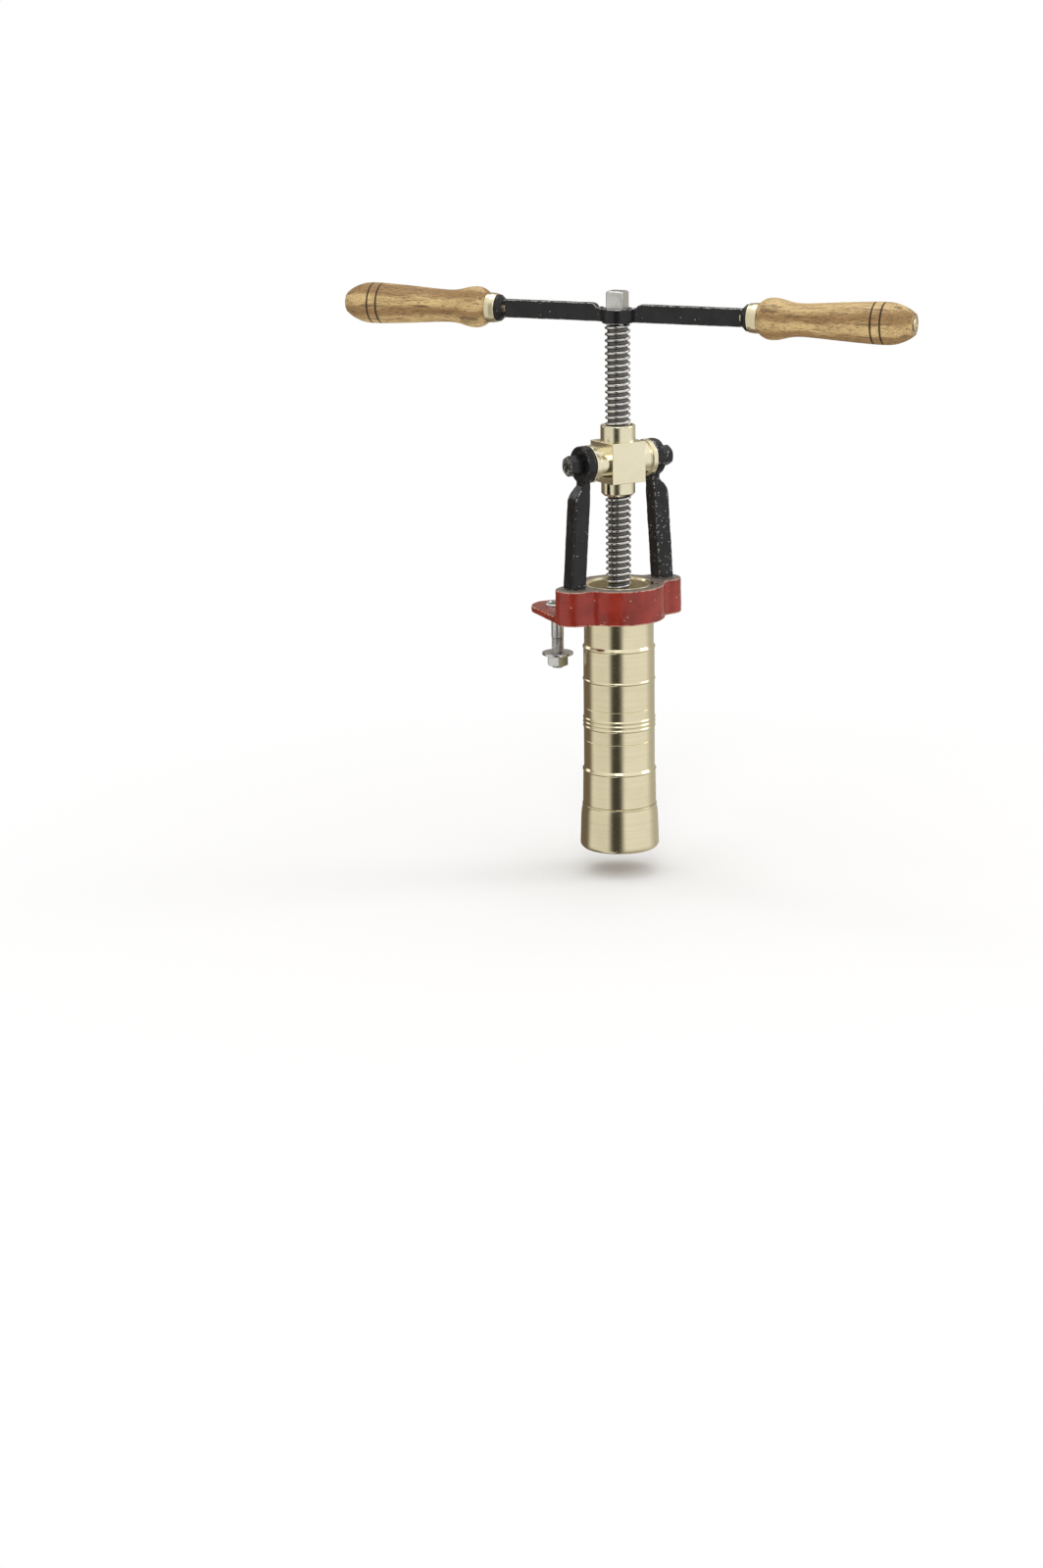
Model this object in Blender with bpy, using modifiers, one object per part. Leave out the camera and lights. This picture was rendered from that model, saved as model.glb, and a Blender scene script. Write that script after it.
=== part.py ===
# Bench pasta press: a hand screw drives a piston down a barrel and pushes dough through a die.
# The origin is on the screw axis at the bracket's underside, +Z is up, and +Y is where the bench is.
# Lengths are in metres. The press is modelled with its piston partly down the barrel.

import math

import bmesh
import bpy
from mathutils import Matrix

# Clearances and facets
SEAT_GAP = 0.0003
CUT_OVERRUN = 0.003
WELD_DISTANCE = 0.00001
SHARP_ANGLE = math.radians(32)
FLAT_ANGLE = math.radians(1)
BARREL_STEPS = 36
GRIP_STEPS = 20
ROUND_STEPS = 24
BOLT_STEPS = 12
ARC_STEPS = 6

# Bracket casting
CASTING_HEIGHT = 0.0335
RING_WALL = 0.0103
BOSS_RADIUS = 0.0180
BOSS_WEB = 0.0039
NECK_FILLET = 0.0120
CASTING_DRAFT = 0.0005
CASTING_CHAMFER = 0.0008
EAR_THICKNESS = 0.0065
EAR_RADIUS = 0.0250
EAR_SPREAD = 0.0320
EAR_REACH = 0.0580
EAR_SCALLOP = 0.0120
EAR_CHAMFER = 0.0012

# Barrel
BARREL_BORE = 0.0570
BARREL_MOUTH_CHAMFER = 0.0020
BARREL_NECK_DIAMETER = 0.0664
BARREL_DIAMETER = 0.0680
BARREL_FOOT_DIAMETER = 0.0694
BARREL_THREAD_WALL = 0.0041
BARREL_SHOW = 0.1810
BARREL_THREAD_LENGTH = 0.0234
BEAD_HEIGHT = 0.0007
BEAD_WIDTH = 0.0018
BEAD_SHARES = (0.152, 0.325, 0.533, 0.5555, 0.578, 0.815)
NECK_END_SHARE = 0.152
FOOT_START_SHARE = 0.815

# Ring nut and die
RING_NUT_WALL = 0.0024
RING_NUT_FLARE = 0.0030
RING_NUT_OPENING = 0.0490
RING_NUT_LIP = 0.0045
RING_NUT_CHAMFER = 0.0035
RING_NUT_FLARE_SHARE = 2.6
RING_NUT_FLARE_STEPS = 4
DIE_DIAMETER = 0.0595
DIE_THICKNESS = 0.0150
DIE_CHAMFER = 0.0008
DIE_HOLE_DIAMETER = 0.0032
DIE_HOLE_PITCH = 0.0060
DIE_HOLE_RINGS = 3
DIE_HOLE_STEPS = 6

# Piston and its keeper
PISTON_CLEARANCE = 0.0006
PISTON_HEIGHT = 0.0240
PISTON_CHAMFER = 0.0012
SEAL_WIDTH = 0.0050
SEAL_DEPTH = 0.0035
SEAL_SHARE = 0.42
BUTTON_DIAMETER = 0.0190
BUTTON_HEIGHT = 0.0074
SCREW_NECK_DIAMETER = 0.0140
KEEPER_DIAMETER = 0.0440
KEEPER_THICKNESS = 0.0050
KEEPER_SPLIT = 0.0008
KEEPER_SCREW_CIRCLE = 0.0300
KEEPER_SCREW_DIAMETER = 0.0040
KEEPER_SCREW_HEAD_DIAMETER = 0.0070
KEEPER_SCREW_HEAD_HEIGHT = 0.0028
KEEPER_SCREW_LENGTH = 0.0100
KEEPER_SCREW_COUNT = 2

# Lead screw
SCREW_DIAMETER = 0.0240
SCREW_CHAMFER = 0.0015
SQUARE_WIDTH = 0.0170
SQUARE_TURNED_DIAMETER = 0.0226
SQUARE_CHAMFER = 0.0016
SQUARE_ABOVE_HUB = 0.0160
STROKE_LEFT = 0.0950
PISTON_FOOT_ROOM = 0.0020

# Press nut
NUT_WIDTH = 0.0375
NUT_HEIGHT = 0.0385
NUT_EDGE = 0.0006
NUT_AXIS_HEIGHT = 0.1505
TOP_BOSS_DIAMETER = 0.0330
TOP_BOSS_HEIGHT = 0.0150
TOP_BOSS_EDGE = 0.0012
LOW_BOSS_DIAMETER = 0.0320
LOW_BOSS_HEIGHT = 0.0134
LOW_BOSS_CHAMFER = 0.0025
TRUNNION_DIAMETER = 0.0320
TRUNNION_LENGTH = 0.0105
TRUNNION_COLLAR_DIAMETER = 0.0352
TRUNNION_COLLAR_LENGTH = 0.0052
TRUNNION_COLLAR_EDGE = 0.0008

# Arms and what holds them
ARM_WIDTH = 0.0160
ARM_CHAMFER = 0.0020
ARM_TOP_INSET = 0.0055
ARM_SHOULDER_DROP = 0.0345
ARM_NECK_DROP = 0.0200
ARM_NECK_DEPTH = 0.0130
EYE_DIAMETER = 0.0350
EYE_THICKNESS = 0.0090
EYE_CHAMFER = 0.0015
SHOULDER_STEPS = 5
SPIGOT_DIAMETER = 0.0120
FOOT_NUT_FLATS = 0.0190
FOOT_NUT_HEIGHT = 0.0100
FOOT_WASHER_DIAMETER = 0.0240
FOOT_WASHER_THICKNESS = 0.0020
FOOT_POCKET_DIAMETER = 0.0258
FOOT_POCKET_DEPTH = 0.0135

# Pivot bolts
PIVOT_DIAMETER = 0.0120
PIVOT_REACH = 0.0110
PIVOT_FLATS = 0.0170
PIVOT_HEAD_HEIGHT = 0.0080
LOCK_NUT_FLATS = 0.0170
LOCK_NUT_HEIGHT = 0.0050
HEX_CHAMFER_SHARE = 0.16

# Crank bar
HUB_DIAMETER = 0.0290
HUB_HEIGHT = 0.0140
HUB_EDGE = 0.0008
BAR_HEIGHT = 0.0170
BAR_THICKNESS = 0.0080
BAR_LIFT = 0.0012
BAR_REACH_NEAR = 0.1245
BAR_REACH_FAR = 0.1145
BAR_FILLET = 0.0100
BAR_EDGE = 0.0008
SPOT_FACE_DIAMETER = 0.0330
HANDLE_ANGLE = math.radians(-56.2)
TANG_DIAMETER = 0.0100
TANG_HEAD_DIAMETER = 0.0130
TANG_HEAD_HEIGHT = 0.0014

# Collars, ferrules, grips and end washers
COLLAR_DIAMETER = 0.0250
COLLAR_NECK_DIAMETER = 0.0180
COLLAR_LENGTH = 0.0060
COLLAR_RIM = 0.0022
FERRULE_DIAMETER = 0.0280
FERRULE_END_DIAMETER = 0.0262
FERRULE_LENGTH = 0.0100
FERRULE_WALL = 0.0012
FERRULE_EDGE = 0.0006
FERRULE_LIP_DIAMETER = 0.0200
GRIP_LENGTH = 0.1470
GRIP_DIAMETER = 0.0390
GRIP_SHARES = (
    (0.000, 0.720), (0.022, 0.850), (0.050, 0.955), (0.085, 0.990), (0.133, 0.955),
    (0.200, 0.832), (0.262, 0.782), (0.350, 0.802), (0.535, 0.894), (0.700, 0.965),
    (0.790, 0.990), (0.870, 0.965), (0.930, 0.832), (0.970, 0.680), (1.000, 0.520),
)
GROOVE_SHARES = (0.752, 0.814)
GROOVE_WIDTH = 0.0016
GROOVE_DEPTH = 0.0009
END_WASHER_DIAMETER = 0.0180
END_WASHER_THICKNESS = 0.0016

# Bench bolts
BENCH_THICKNESS = 0.0400
BENCH_BOLT_DIAMETER = 0.0120
BENCH_HEAD_DIAMETER = 0.0290
BENCH_HEAD_HEIGHT = 0.0062
BENCH_HEAD_RIM = 0.0014
BENCH_BOLT_TAIL = 0.0150
BENCH_WASHER_DIAMETER = 0.0300
BENCH_WASHER_THICKNESS = 0.0025
BENCH_NUT_FLATS = 0.0190
BENCH_NUT_HEIGHT = 0.0100

# Finishes: colour, roughness, metallic
FINISHES = {
    "red_paint": ((0.30, 0.035, 0.025, 1.0), 0.45, 0.0),
    "black_paint": ((0.020, 0.020, 0.022, 1.0), 0.40, 0.0),
    "brass": ((0.66, 0.58, 0.38, 1.0), 0.22, 1.0),
    "bronze": ((0.55, 0.40, 0.20, 1.0), 0.35, 1.0),
    "steel": ((0.50, 0.50, 0.50, 1.0), 0.28, 1.0),
    "zinc": ((0.62, 0.62, 0.62, 1.0), 0.35, 1.0),
    "wood": ((0.50, 0.30, 0.13, 1.0), 0.55, 0.0),
    "seal": ((0.60, 0.56, 0.48, 1.0), 0.60, 0.0),
}

# Places worked out from the sizes. Those from the collars to the washers are counted from the bar's ends.
bore_radius = BARREL_BORE / 2
thread_radius = bore_radius + BARREL_THREAD_WALL
ring_radius = BARREL_NECK_DIAMETER / 2 + RING_WALL
boss_offset = BARREL_NECK_DIAMETER / 2 + BOSS_WEB + FOOT_POCKET_DIAMETER / 2
barrel_end = -(BARREL_SHOW + BARREL_THREAD_LENGTH)
ring_nut_top = -BARREL_SHOW - SEAT_GAP
die_top = barrel_end - SEAT_GAP
die_bottom = die_top - DIE_THICKNESS
ring_nut_bottom = die_bottom - SEAT_GAP - RING_NUT_LIP
piston_bottom = die_top + PISTON_FOOT_ROOM + STROKE_LEFT
piston_top = piston_bottom + PISTON_HEIGHT
keeper_bottom = piston_top + SEAT_GAP
keeper_top = keeper_bottom + KEEPER_THICKNESS
shaft_bottom = keeper_top + SEAT_GAP
nut_top = NUT_AXIS_HEIGHT + NUT_HEIGHT / 2 + TOP_BOSS_HEIGHT
nut_bottom = NUT_AXIS_HEIGHT - NUT_HEIGHT / 2 - LOW_BOSS_HEIGHT
trunnion_end = NUT_WIDTH / 2 + TRUNNION_LENGTH + TRUNNION_COLLAR_LENGTH
eye_inner = trunnion_end + SEAT_GAP
eye_outer = eye_inner + EYE_THICKNESS
lock_nut_outer = eye_outer + SEAT_GAP + LOCK_NUT_HEIGHT
pivot_head_start = lock_nut_outer + SEAT_GAP
hub_bottom = nut_top + STROKE_LEFT
hub_top = hub_bottom + HUB_HEIGHT
bar_bottom = hub_bottom + BAR_LIFT
bar_centre = bar_bottom + BAR_HEIGHT / 2
collar_start = SEAT_GAP
ferrule_start = collar_start + COLLAR_LENGTH + SEAT_GAP
grip_start = ferrule_start + FERRULE_LENGTH
grip_end = grip_start + GRIP_LENGTH
washer_seat = grip_end - END_WASHER_THICKNESS


# Scene, collections and materials

def clear_scene():
    for thing in list(bpy.data.objects):
        bpy.data.objects.remove(thing, do_unlink=True)


def make_collection(name):
    collection = bpy.data.collections.new(name)
    bpy.context.scene.collection.children.link(collection)
    return collection


clear_scene()
press_parts = make_collection("pasta_press")
press_cutters = make_collection("cutters")


def paint(thing, finish):
    colour, roughness, metallic = FINISHES[finish]
    material = bpy.data.materials.new(thing.name + "_finish")
    material.use_nodes = True
    shader = material.node_tree.nodes["Principled BSDF"]
    shader.inputs["Base Color"].default_value = colour
    shader.inputs["Roughness"].default_value = roughness
    shader.inputs["Metallic"].default_value = metallic
    material.diffuse_color = colour
    thing.data.materials.clear()
    thing.data.materials.append(material)


# Modelling helpers

def new_object(name, mesh, place=None, tool=False):
    thing = bpy.data.objects.new(name, mesh)
    thing.matrix_world = place or Matrix.Identity(4)
    if tool:
        press_cutters.objects.link(thing)
        thing.hide_render = True
        thing.display_type = "WIRE"
    else:
        press_parts.objects.link(thing)
    return thing


def arc(centre, radius, start, end, steps=ARC_STEPS):
    points = []
    for step in range(steps + 1):
        angle = start + (end - start) * step / steps
        points.append((centre[0] + radius * math.cos(angle), centre[1] + radius * math.sin(angle)))
    return points


def turned(name, profile, steps, place=None, tool=False, closed=False):
    # The profile lists (radius, height) down the outer side, and back up the inner side of a tube.
    mesh = bpy.data.meshes.new(name)
    count = len(profile)
    edges = [(index, index + 1) for index in range(count - 1)]
    if closed:
        edges.append((count - 1, 0))
    mesh.from_pydata([(radius, 0, height) for radius, height in profile], edges, [])
    thing = new_object(name, mesh, place, tool)
    screw = thing.modifiers.new("turn", "SCREW")
    screw.axis = "Z"
    screw.steps = steps
    screw.render_steps = steps
    screw.use_merge_vertices = True
    screw.merge_threshold = WELD_DISTANCE
    return thing


def rod(name, radius, low, high, steps, place=None, tool=False):
    # A tool's facets are turned a little, so that they never line up with those that they cut.
    if tool:
        place = (place or Matrix.Identity(4)) @ Matrix.Rotation(math.pi / (2 * steps), 4, "Z")
    return turned(name, [(0, high), (radius, high), (radius, low), (0, low)], steps, place, tool)


def plate(name, outline, low, high, place=None, tool=False):
    # A flat outline, filled and given its thickness along Z.
    curve = bpy.data.curves.new(name, "CURVE")
    curve.dimensions = "2D"
    curve.fill_mode = "BOTH"
    curve.extrude = (high - low) / 2
    line = curve.splines.new("POLY")
    line.points.add(len(outline) - 1)
    for point, (x, y) in zip(line.points, outline):
        point.co = (x, y, 0, 1)
    line.use_cyclic_u = True
    drawn = bpy.data.objects.new(name + "_outline", curve)
    press_cutters.objects.link(drawn)
    bpy.context.view_layer.update()
    graph = bpy.context.evaluated_depsgraph_get()
    mesh = bpy.data.meshes.new_from_object(drawn.evaluated_get(graph))
    bpy.data.objects.remove(drawn, do_unlink=True)
    mesh.transform(Matrix.Translation((0, 0, (high + low) / 2)))
    solid = bmesh.new()
    solid.from_mesh(mesh)
    bmesh.ops.remove_doubles(solid, verts=solid.verts, dist=WELD_DISTANCE)
    bmesh.ops.dissolve_limit(solid, angle_limit=FLAT_ANGLE, verts=solid.verts, edges=solid.edges)
    bmesh.ops.recalc_face_normals(solid, faces=solid.faces)
    solid.to_mesh(mesh)
    solid.free()
    return new_object(name, mesh, place, tool)


def block(name, size, centre, place=None, tool=False):
    mesh = bpy.data.meshes.new(name)
    solid = bmesh.new()
    bmesh.ops.create_cube(solid, size=1)
    bmesh.ops.scale(solid, vec=size, verts=solid.verts)
    bmesh.ops.translate(solid, vec=centre, verts=solid.verts)
    solid.to_mesh(mesh)
    solid.free()
    return new_object(name, mesh, place, tool)


def loft(name, rings, place=None, tool=False):
    # Skin between rings with the same number of points, listed from low to high.
    mesh = bpy.data.meshes.new(name)
    solid = bmesh.new()
    loops = [[solid.verts.new(point) for point in ring] for ring in rings]
    solid.faces.new(reversed(loops[0]))
    solid.faces.new(loops[-1])
    for lower, upper in zip(loops, loops[1:]):
        for index in range(len(lower)):
            after = (index + 1) % len(lower)
            solid.faces.new((lower[index], lower[after], upper[after], upper[index]))
    bmesh.ops.recalc_face_normals(solid, faces=solid.faces)
    solid.to_mesh(mesh)
    solid.free()
    return new_object(name, mesh, place, tool)


def bevel(thing, width, segments=1, angle=math.radians(40)):
    edge = thing.modifiers.new("edges", "BEVEL")
    edge.width = width
    edge.segments = segments
    edge.limit_method = "ANGLE"
    edge.angle_limit = angle


def combine(thing, other, operation):
    step = thing.modifiers.new(operation.lower() + "_" + other.name, "BOOLEAN")
    step.operation = operation
    step.solver = "EXACT"
    step.object = other


def settle(thing, finish):
    # Keeps the mesh that the modifiers make, smooth on round faces and sharp at its edges.
    bpy.context.view_layer.update()
    graph = bpy.context.evaluated_depsgraph_get()
    mesh = bpy.data.meshes.new_from_object(thing.evaluated_get(graph))
    thing.modifiers.clear()
    thing.data = mesh
    mesh.shade_smooth()
    mesh.set_sharp_from_angle(angle=SHARP_ANGLE)
    paint(thing, finish)
    return thing


def along_x(side, height):
    # Turns a piece's own +Z to point out along +X or -X at a height.
    return Matrix.Translation((0, 0, height)) @ Matrix.Rotation(side * math.pi / 2, 4, "Y")


def along_handle(side):
    # Puts a piece's own origin on the bar's near (+1) or far (-1) end, with its +Z pointing outwards.
    turn = Matrix.Rotation(HANDLE_ANGLE, 4, "Z") @ Matrix.Rotation(side * math.pi / 2, 4, "Y")
    reach = BAR_REACH_NEAR if side > 0 else BAR_REACH_FAR
    return Matrix.Translation((0, 0, bar_centre)) @ turn @ Matrix.Translation((0, 0, reach))


def hex_solid(name, flats, low, high, hole_radius=0.0, place=None, tool=False):
    # A hexagon prism whose corners are turned off at both ends.
    corner = flats / math.sqrt(3)
    inset = flats * HEX_CHAMFER_SHARE / 4
    outline = arc((0, 0), corner, 0, math.tau * 5 / 6, 5)
    thing = plate(name, outline, low, high, place, tool)
    face = flats / 2 - inset
    wide = corner + inset
    drop = (wide - face) / math.sqrt(3)
    tip = face - inset * math.sqrt(3)
    cone = [
        (0, high + inset), (tip, high + inset), (wide, high - drop),
        (wide, low + drop), (tip, low - inset), (0, low - inset),
    ]
    half_step = (place or Matrix.Identity(4)) @ Matrix.Rotation(math.pi / BOLT_STEPS, 4, "Z")
    lathe = turned(name + "_lathe", cone, BOLT_STEPS, half_step, tool=True)
    combine(thing, lathe, "INTERSECT")
    if hole_radius:
        start = low - CUT_OVERRUN
        end = high + CUT_OVERRUN
        drill = rod(name + "_drill", hole_radius, start, end, BOLT_STEPS, place, True)
        combine(thing, drill, "DIFFERENCE")
    return thing


def washer(name, diameter, hole_diameter, low, high, place=None):
    profile = [
        (diameter / 2, high), (diameter / 2, low), (hole_diameter / 2, low), (hole_diameter / 2, high),
    ]
    return turned(name, profile, ROUND_STEPS, place, closed=True)


# Bracket casting

def casting_outline(grow):
    ring = ring_radius + grow
    boss = BOSS_RADIUS + grow
    reach_ring = ring + NECK_FILLET
    reach_boss = boss + NECK_FILLET
    x = (reach_ring ** 2 - reach_boss ** 2 + boss_offset ** 2) / (2 * boss_offset)
    y = math.sqrt(reach_ring ** 2 - x ** 2)
    ring_angle = math.atan2(y, x)
    boss_angle = math.atan2(y, x - boss_offset)
    upper = arc((boss_offset, 0), boss, 0, boss_angle)[:-1]
    upper += arc((x, y), NECK_FILLET, boss_angle - math.pi, ring_angle - math.pi, ARC_STEPS // 2)[:-1]
    upper += arc((0, 0), ring, ring_angle, math.pi / 2)
    half = upper + [(-px, py) for px, py in reversed(upper[:-1])]
    return half + [(px, -py) for px, py in reversed(half[1:-1])]


def ear_outline():
    edge = EAR_SPREAD + EAR_RADIUS
    scallop_y = EAR_REACH + math.sqrt((EAR_RADIUS + EAR_SCALLOP) ** 2 - EAR_SPREAD ** 2)
    turn = math.atan2(scallop_y - EAR_REACH, -EAR_SPREAD)
    right = [(edge, 0)] + arc((EAR_SPREAD, EAR_REACH), EAR_RADIUS, 0, turn)[:-1]
    dip = arc((0, scallop_y), EAR_SCALLOP, turn - math.pi, -turn)
    left = [(-x, y) for x, y in reversed(right)]
    return right + dip + left


def make_casting():
    low = [(x, y, 0) for x, y in casting_outline(CASTING_DRAFT)]
    high = [(x, y, CASTING_HEIGHT) for x, y in casting_outline(0)]
    casting = loft("bracket_casting", [low, high])
    bevel(casting, CASTING_CHAMFER)
    ears = plate("casting_ears", ear_outline(), 0, EAR_THICKNESS, tool=True)
    bevel(ears, EAR_CHAMFER)
    combine(casting, ears, "UNION")
    top = CASTING_HEIGHT + CUT_OVERRUN
    seat = BARREL_NECK_DIAMETER / 2 + SEAT_GAP
    bore = rod("casting_bore", seat, -CUT_OVERRUN, top, BARREL_STEPS, tool=True)
    combine(casting, bore, "DIFFERENCE")
    for side, word in ((-1, "left"), (1, "right")):
        boss = Matrix.Translation((side * boss_offset, 0, 0))
        drill_radius = SPIGOT_DIAMETER / 2 + SEAT_GAP
        pocket_radius = FOOT_POCKET_DIAMETER / 2
        profile = [
            (0, top), (drill_radius, top), (drill_radius, FOOT_POCKET_DEPTH),
            (pocket_radius, FOOT_POCKET_DEPTH), (pocket_radius, -CUT_OVERRUN), (0, -CUT_OVERRUN),
        ]
        combine(casting, turned("boss_drill_" + word, profile, ROUND_STEPS, boss, True), "DIFFERENCE")
        ear = Matrix.Translation((side * EAR_SPREAD, EAR_REACH, 0))
        drill_radius = BENCH_BOLT_DIAMETER / 2 + SEAT_GAP
        ear_top = EAR_THICKNESS + CUT_OVERRUN
        drill = rod("ear_drill_" + word, drill_radius, -CUT_OVERRUN, ear_top, BOLT_STEPS, ear, True)
        combine(casting, drill, "DIFFERENCE")
    settle(casting, "red_paint")


# Barrel, ring nut and die

def bead(radius, height):
    half = BEAD_WIDTH / 2
    return [(radius, height + half), (radius + BEAD_HEIGHT, height), (radius, height - half)]


def make_barrel():
    neck = BARREL_NECK_DIAMETER / 2
    body = BARREL_DIAMETER / 2
    foot = BARREL_FOOT_DIAMETER / 2
    mouth = bore_radius + BARREL_MOUTH_CHAMFER
    profile = [(mouth, CASTING_HEIGHT), (neck, CASTING_HEIGHT)]
    for share in BEAD_SHARES:
        height = -BARREL_SHOW * share
        if share < NECK_END_SHARE:
            radius = neck
        elif share < FOOT_START_SHARE:
            radius = body
        else:
            radius = foot
        points = bead(radius, height)
        if share == NECK_END_SHARE:
            points[0] = (neck, points[0][1])
        if share == FOOT_START_SHARE:
            points[0] = (body, points[0][1])
        profile += points
    profile += [(foot, -BARREL_SHOW), (thread_radius, -BARREL_SHOW), (thread_radius, barrel_end)]
    profile += [(bore_radius, barrel_end), (bore_radius, CASTING_HEIGHT - BARREL_MOUTH_CHAMFER)]
    settle(turned("barrel", profile, BARREL_STEPS, closed=True), "brass")


def make_ring_nut():
    inner = thread_radius + SEAT_GAP
    top = thread_radius + RING_NUT_WALL
    wide = top + RING_NUT_FLARE
    pocket = DIE_DIAMETER / 2 + SEAT_GAP
    opening = RING_NUT_OPENING / 2
    flare_end = ring_nut_bottom + RING_NUT_CHAMFER
    profile = bead(top, ring_nut_top - BEAD_WIDTH / 2)
    flare_start = profile[-1][1]
    for step in range(1, RING_NUT_FLARE_STEPS + 1):
        share = step / RING_NUT_FLARE_STEPS
        radius = top + (wide - top) * share ** RING_NUT_FLARE_SHARE
        profile.append((radius, flare_start + (flare_end - flare_start) * share))
    profile += [(wide - RING_NUT_CHAMFER / 2, ring_nut_bottom), (opening, ring_nut_bottom)]
    profile += [(opening, ring_nut_bottom + RING_NUT_LIP), (pocket, ring_nut_bottom + RING_NUT_LIP)]
    profile += [(pocket, die_top), (inner, die_top), (inner, ring_nut_top)]
    settle(turned("ring_nut", profile, BARREL_STEPS, closed=True), "brass")


def make_die():
    outer = DIE_DIAMETER / 2
    profile = [
        (0, die_top), (outer - DIE_CHAMFER, die_top), (outer, die_top - DIE_CHAMFER),
        (outer, die_bottom), (0, die_bottom),
    ]
    die = turned("die", profile, BARREL_STEPS)
    mesh = bpy.data.meshes.new("die_drills")
    drills = bmesh.new()
    depth = DIE_THICKNESS + 2 * CUT_OVERRUN
    for row in range(-DIE_HOLE_RINGS, DIE_HOLE_RINGS + 1):
        in_row = 2 * DIE_HOLE_RINGS + 1 - abs(row)
        for index in range(in_row):
            x = (index - (in_row - 1) / 2) * DIE_HOLE_PITCH
            y = row * DIE_HOLE_PITCH * math.sqrt(3) / 2
            place = Matrix.Translation((x, y, (die_top + die_bottom) / 2))
            bmesh.ops.create_cone(
                drills, cap_ends=True, segments=DIE_HOLE_STEPS, radius1=DIE_HOLE_DIAMETER / 2,
                radius2=DIE_HOLE_DIAMETER / 2, depth=depth, matrix=place)
    drills.to_mesh(mesh)
    drills.free()
    combine(die, new_object("die_drills", mesh, tool=True), "DIFFERENCE")
    settle(die, "bronze")


# Piston, seal and keeper

def keeper_screw_places():
    for index in range(KEEPER_SCREW_COUNT):
        angle = math.tau * (index + 1 / 2) / KEEPER_SCREW_COUNT
        radius = KEEPER_SCREW_CIRCLE / 2
        yield Matrix.Translation((radius * math.cos(angle), radius * math.sin(angle), 0))


def make_piston():
    outer = bore_radius - PISTON_CLEARANCE
    seal_outer = bore_radius - SEAT_GAP
    seal_top = piston_bottom + PISTON_HEIGHT * SEAL_SHARE + SEAL_WIDTH / 2
    seal_bottom = seal_top - SEAL_WIDTH
    groove = seal_outer - SEAL_DEPTH
    pocket_radius = BUTTON_DIAMETER / 2 + SEAT_GAP
    pocket_floor = piston_top - BUTTON_HEIGHT - 2 * SEAT_GAP
    profile = [
        (0, pocket_floor), (pocket_radius, pocket_floor), (pocket_radius, piston_top),
        (outer - PISTON_CHAMFER, piston_top), (outer, piston_top - PISTON_CHAMFER),
        (outer, seal_top), (groove, seal_top), (groove, seal_bottom), (outer, seal_bottom),
        (outer, piston_bottom + PISTON_CHAMFER), (outer - PISTON_CHAMFER, piston_bottom),
        (0, piston_bottom),
    ]
    piston = turned("piston_body", profile, BARREL_STEPS)
    drill_radius = KEEPER_SCREW_DIAMETER / 2 + SEAT_GAP
    screw_bottom = keeper_top - SEAT_GAP - KEEPER_SCREW_HEAD_HEIGHT - KEEPER_SCREW_LENGTH
    drill_floor = screw_bottom - SEAT_GAP
    for index, place in enumerate(keeper_screw_places()):
        name = "piston_drill_%d" % index
        drill = rod(name, drill_radius, drill_floor, piston_top + CUT_OVERRUN, BOLT_STEPS, place, True)
        combine(piston, drill, "DIFFERENCE")
    settle(piston, "bronze")
    seal_profile = [
        (seal_outer, seal_top - SEAT_GAP), (seal_outer, seal_bottom + SEAT_GAP),
        (groove + SEAT_GAP, seal_bottom + SEAT_GAP), (groove + SEAT_GAP, seal_top - SEAT_GAP),
    ]
    settle(turned("piston_seal", seal_profile, BARREL_STEPS, closed=True), "seal")


def make_keeper():
    head_radius = KEEPER_SCREW_HEAD_DIAMETER / 2
    shank_radius = KEEPER_SCREW_DIAMETER / 2
    head_top = keeper_top - SEAT_GAP
    head_bottom = head_top - KEEPER_SCREW_HEAD_HEIGHT
    for side, word in ((-1, "front"), (1, "back")):
        profile = [
            (KEEPER_DIAMETER / 2, keeper_top), (KEEPER_DIAMETER / 2, keeper_bottom),
            (SCREW_NECK_DIAMETER / 2 + SEAT_GAP, keeper_bottom),
            (SCREW_NECK_DIAMETER / 2 + SEAT_GAP, keeper_top),
        ]
        half = turned("piston_keeper_" + word, profile, ROUND_STEPS, closed=True)
        size = (KEEPER_DIAMETER + 2 * CUT_OVERRUN, KEEPER_DIAMETER, KEEPER_THICKNESS + 2 * CUT_OVERRUN)
        centre = (0, -side * (KEEPER_DIAMETER / 2 - KEEPER_SPLIT / 2), (keeper_top + keeper_bottom) / 2)
        combine(half, block("keeper_saw_" + word, size, centre, tool=True), "DIFFERENCE")
        for index, place in enumerate(keeper_screw_places()):
            sunk = [
                (0, keeper_top + CUT_OVERRUN), (head_radius + SEAT_GAP, keeper_top + CUT_OVERRUN),
                (head_radius + SEAT_GAP, head_bottom - SEAT_GAP),
                (shank_radius + SEAT_GAP, head_bottom - SEAT_GAP),
                (shank_radius + SEAT_GAP, keeper_bottom - CUT_OVERRUN), (0, keeper_bottom - CUT_OVERRUN),
            ]
            if place.translation.y * side > 0:
                name = "keeper_drill_%s_%d" % (word, index)
                combine(half, turned(name, sunk, BOLT_STEPS, place, True), "DIFFERENCE")
        settle(half, "steel")
    tip = head_bottom - KEEPER_SCREW_LENGTH
    for index, place in enumerate(keeper_screw_places()):
        shape = [
            (0, head_top), (head_radius, head_top), (head_radius, head_bottom),
            (shank_radius, head_bottom), (shank_radius, tip), (0, tip),
        ]
        settle(turned("keeper_screw_%d" % (index + 1), shape, BOLT_STEPS, place), "steel")


# Lead screw

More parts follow.
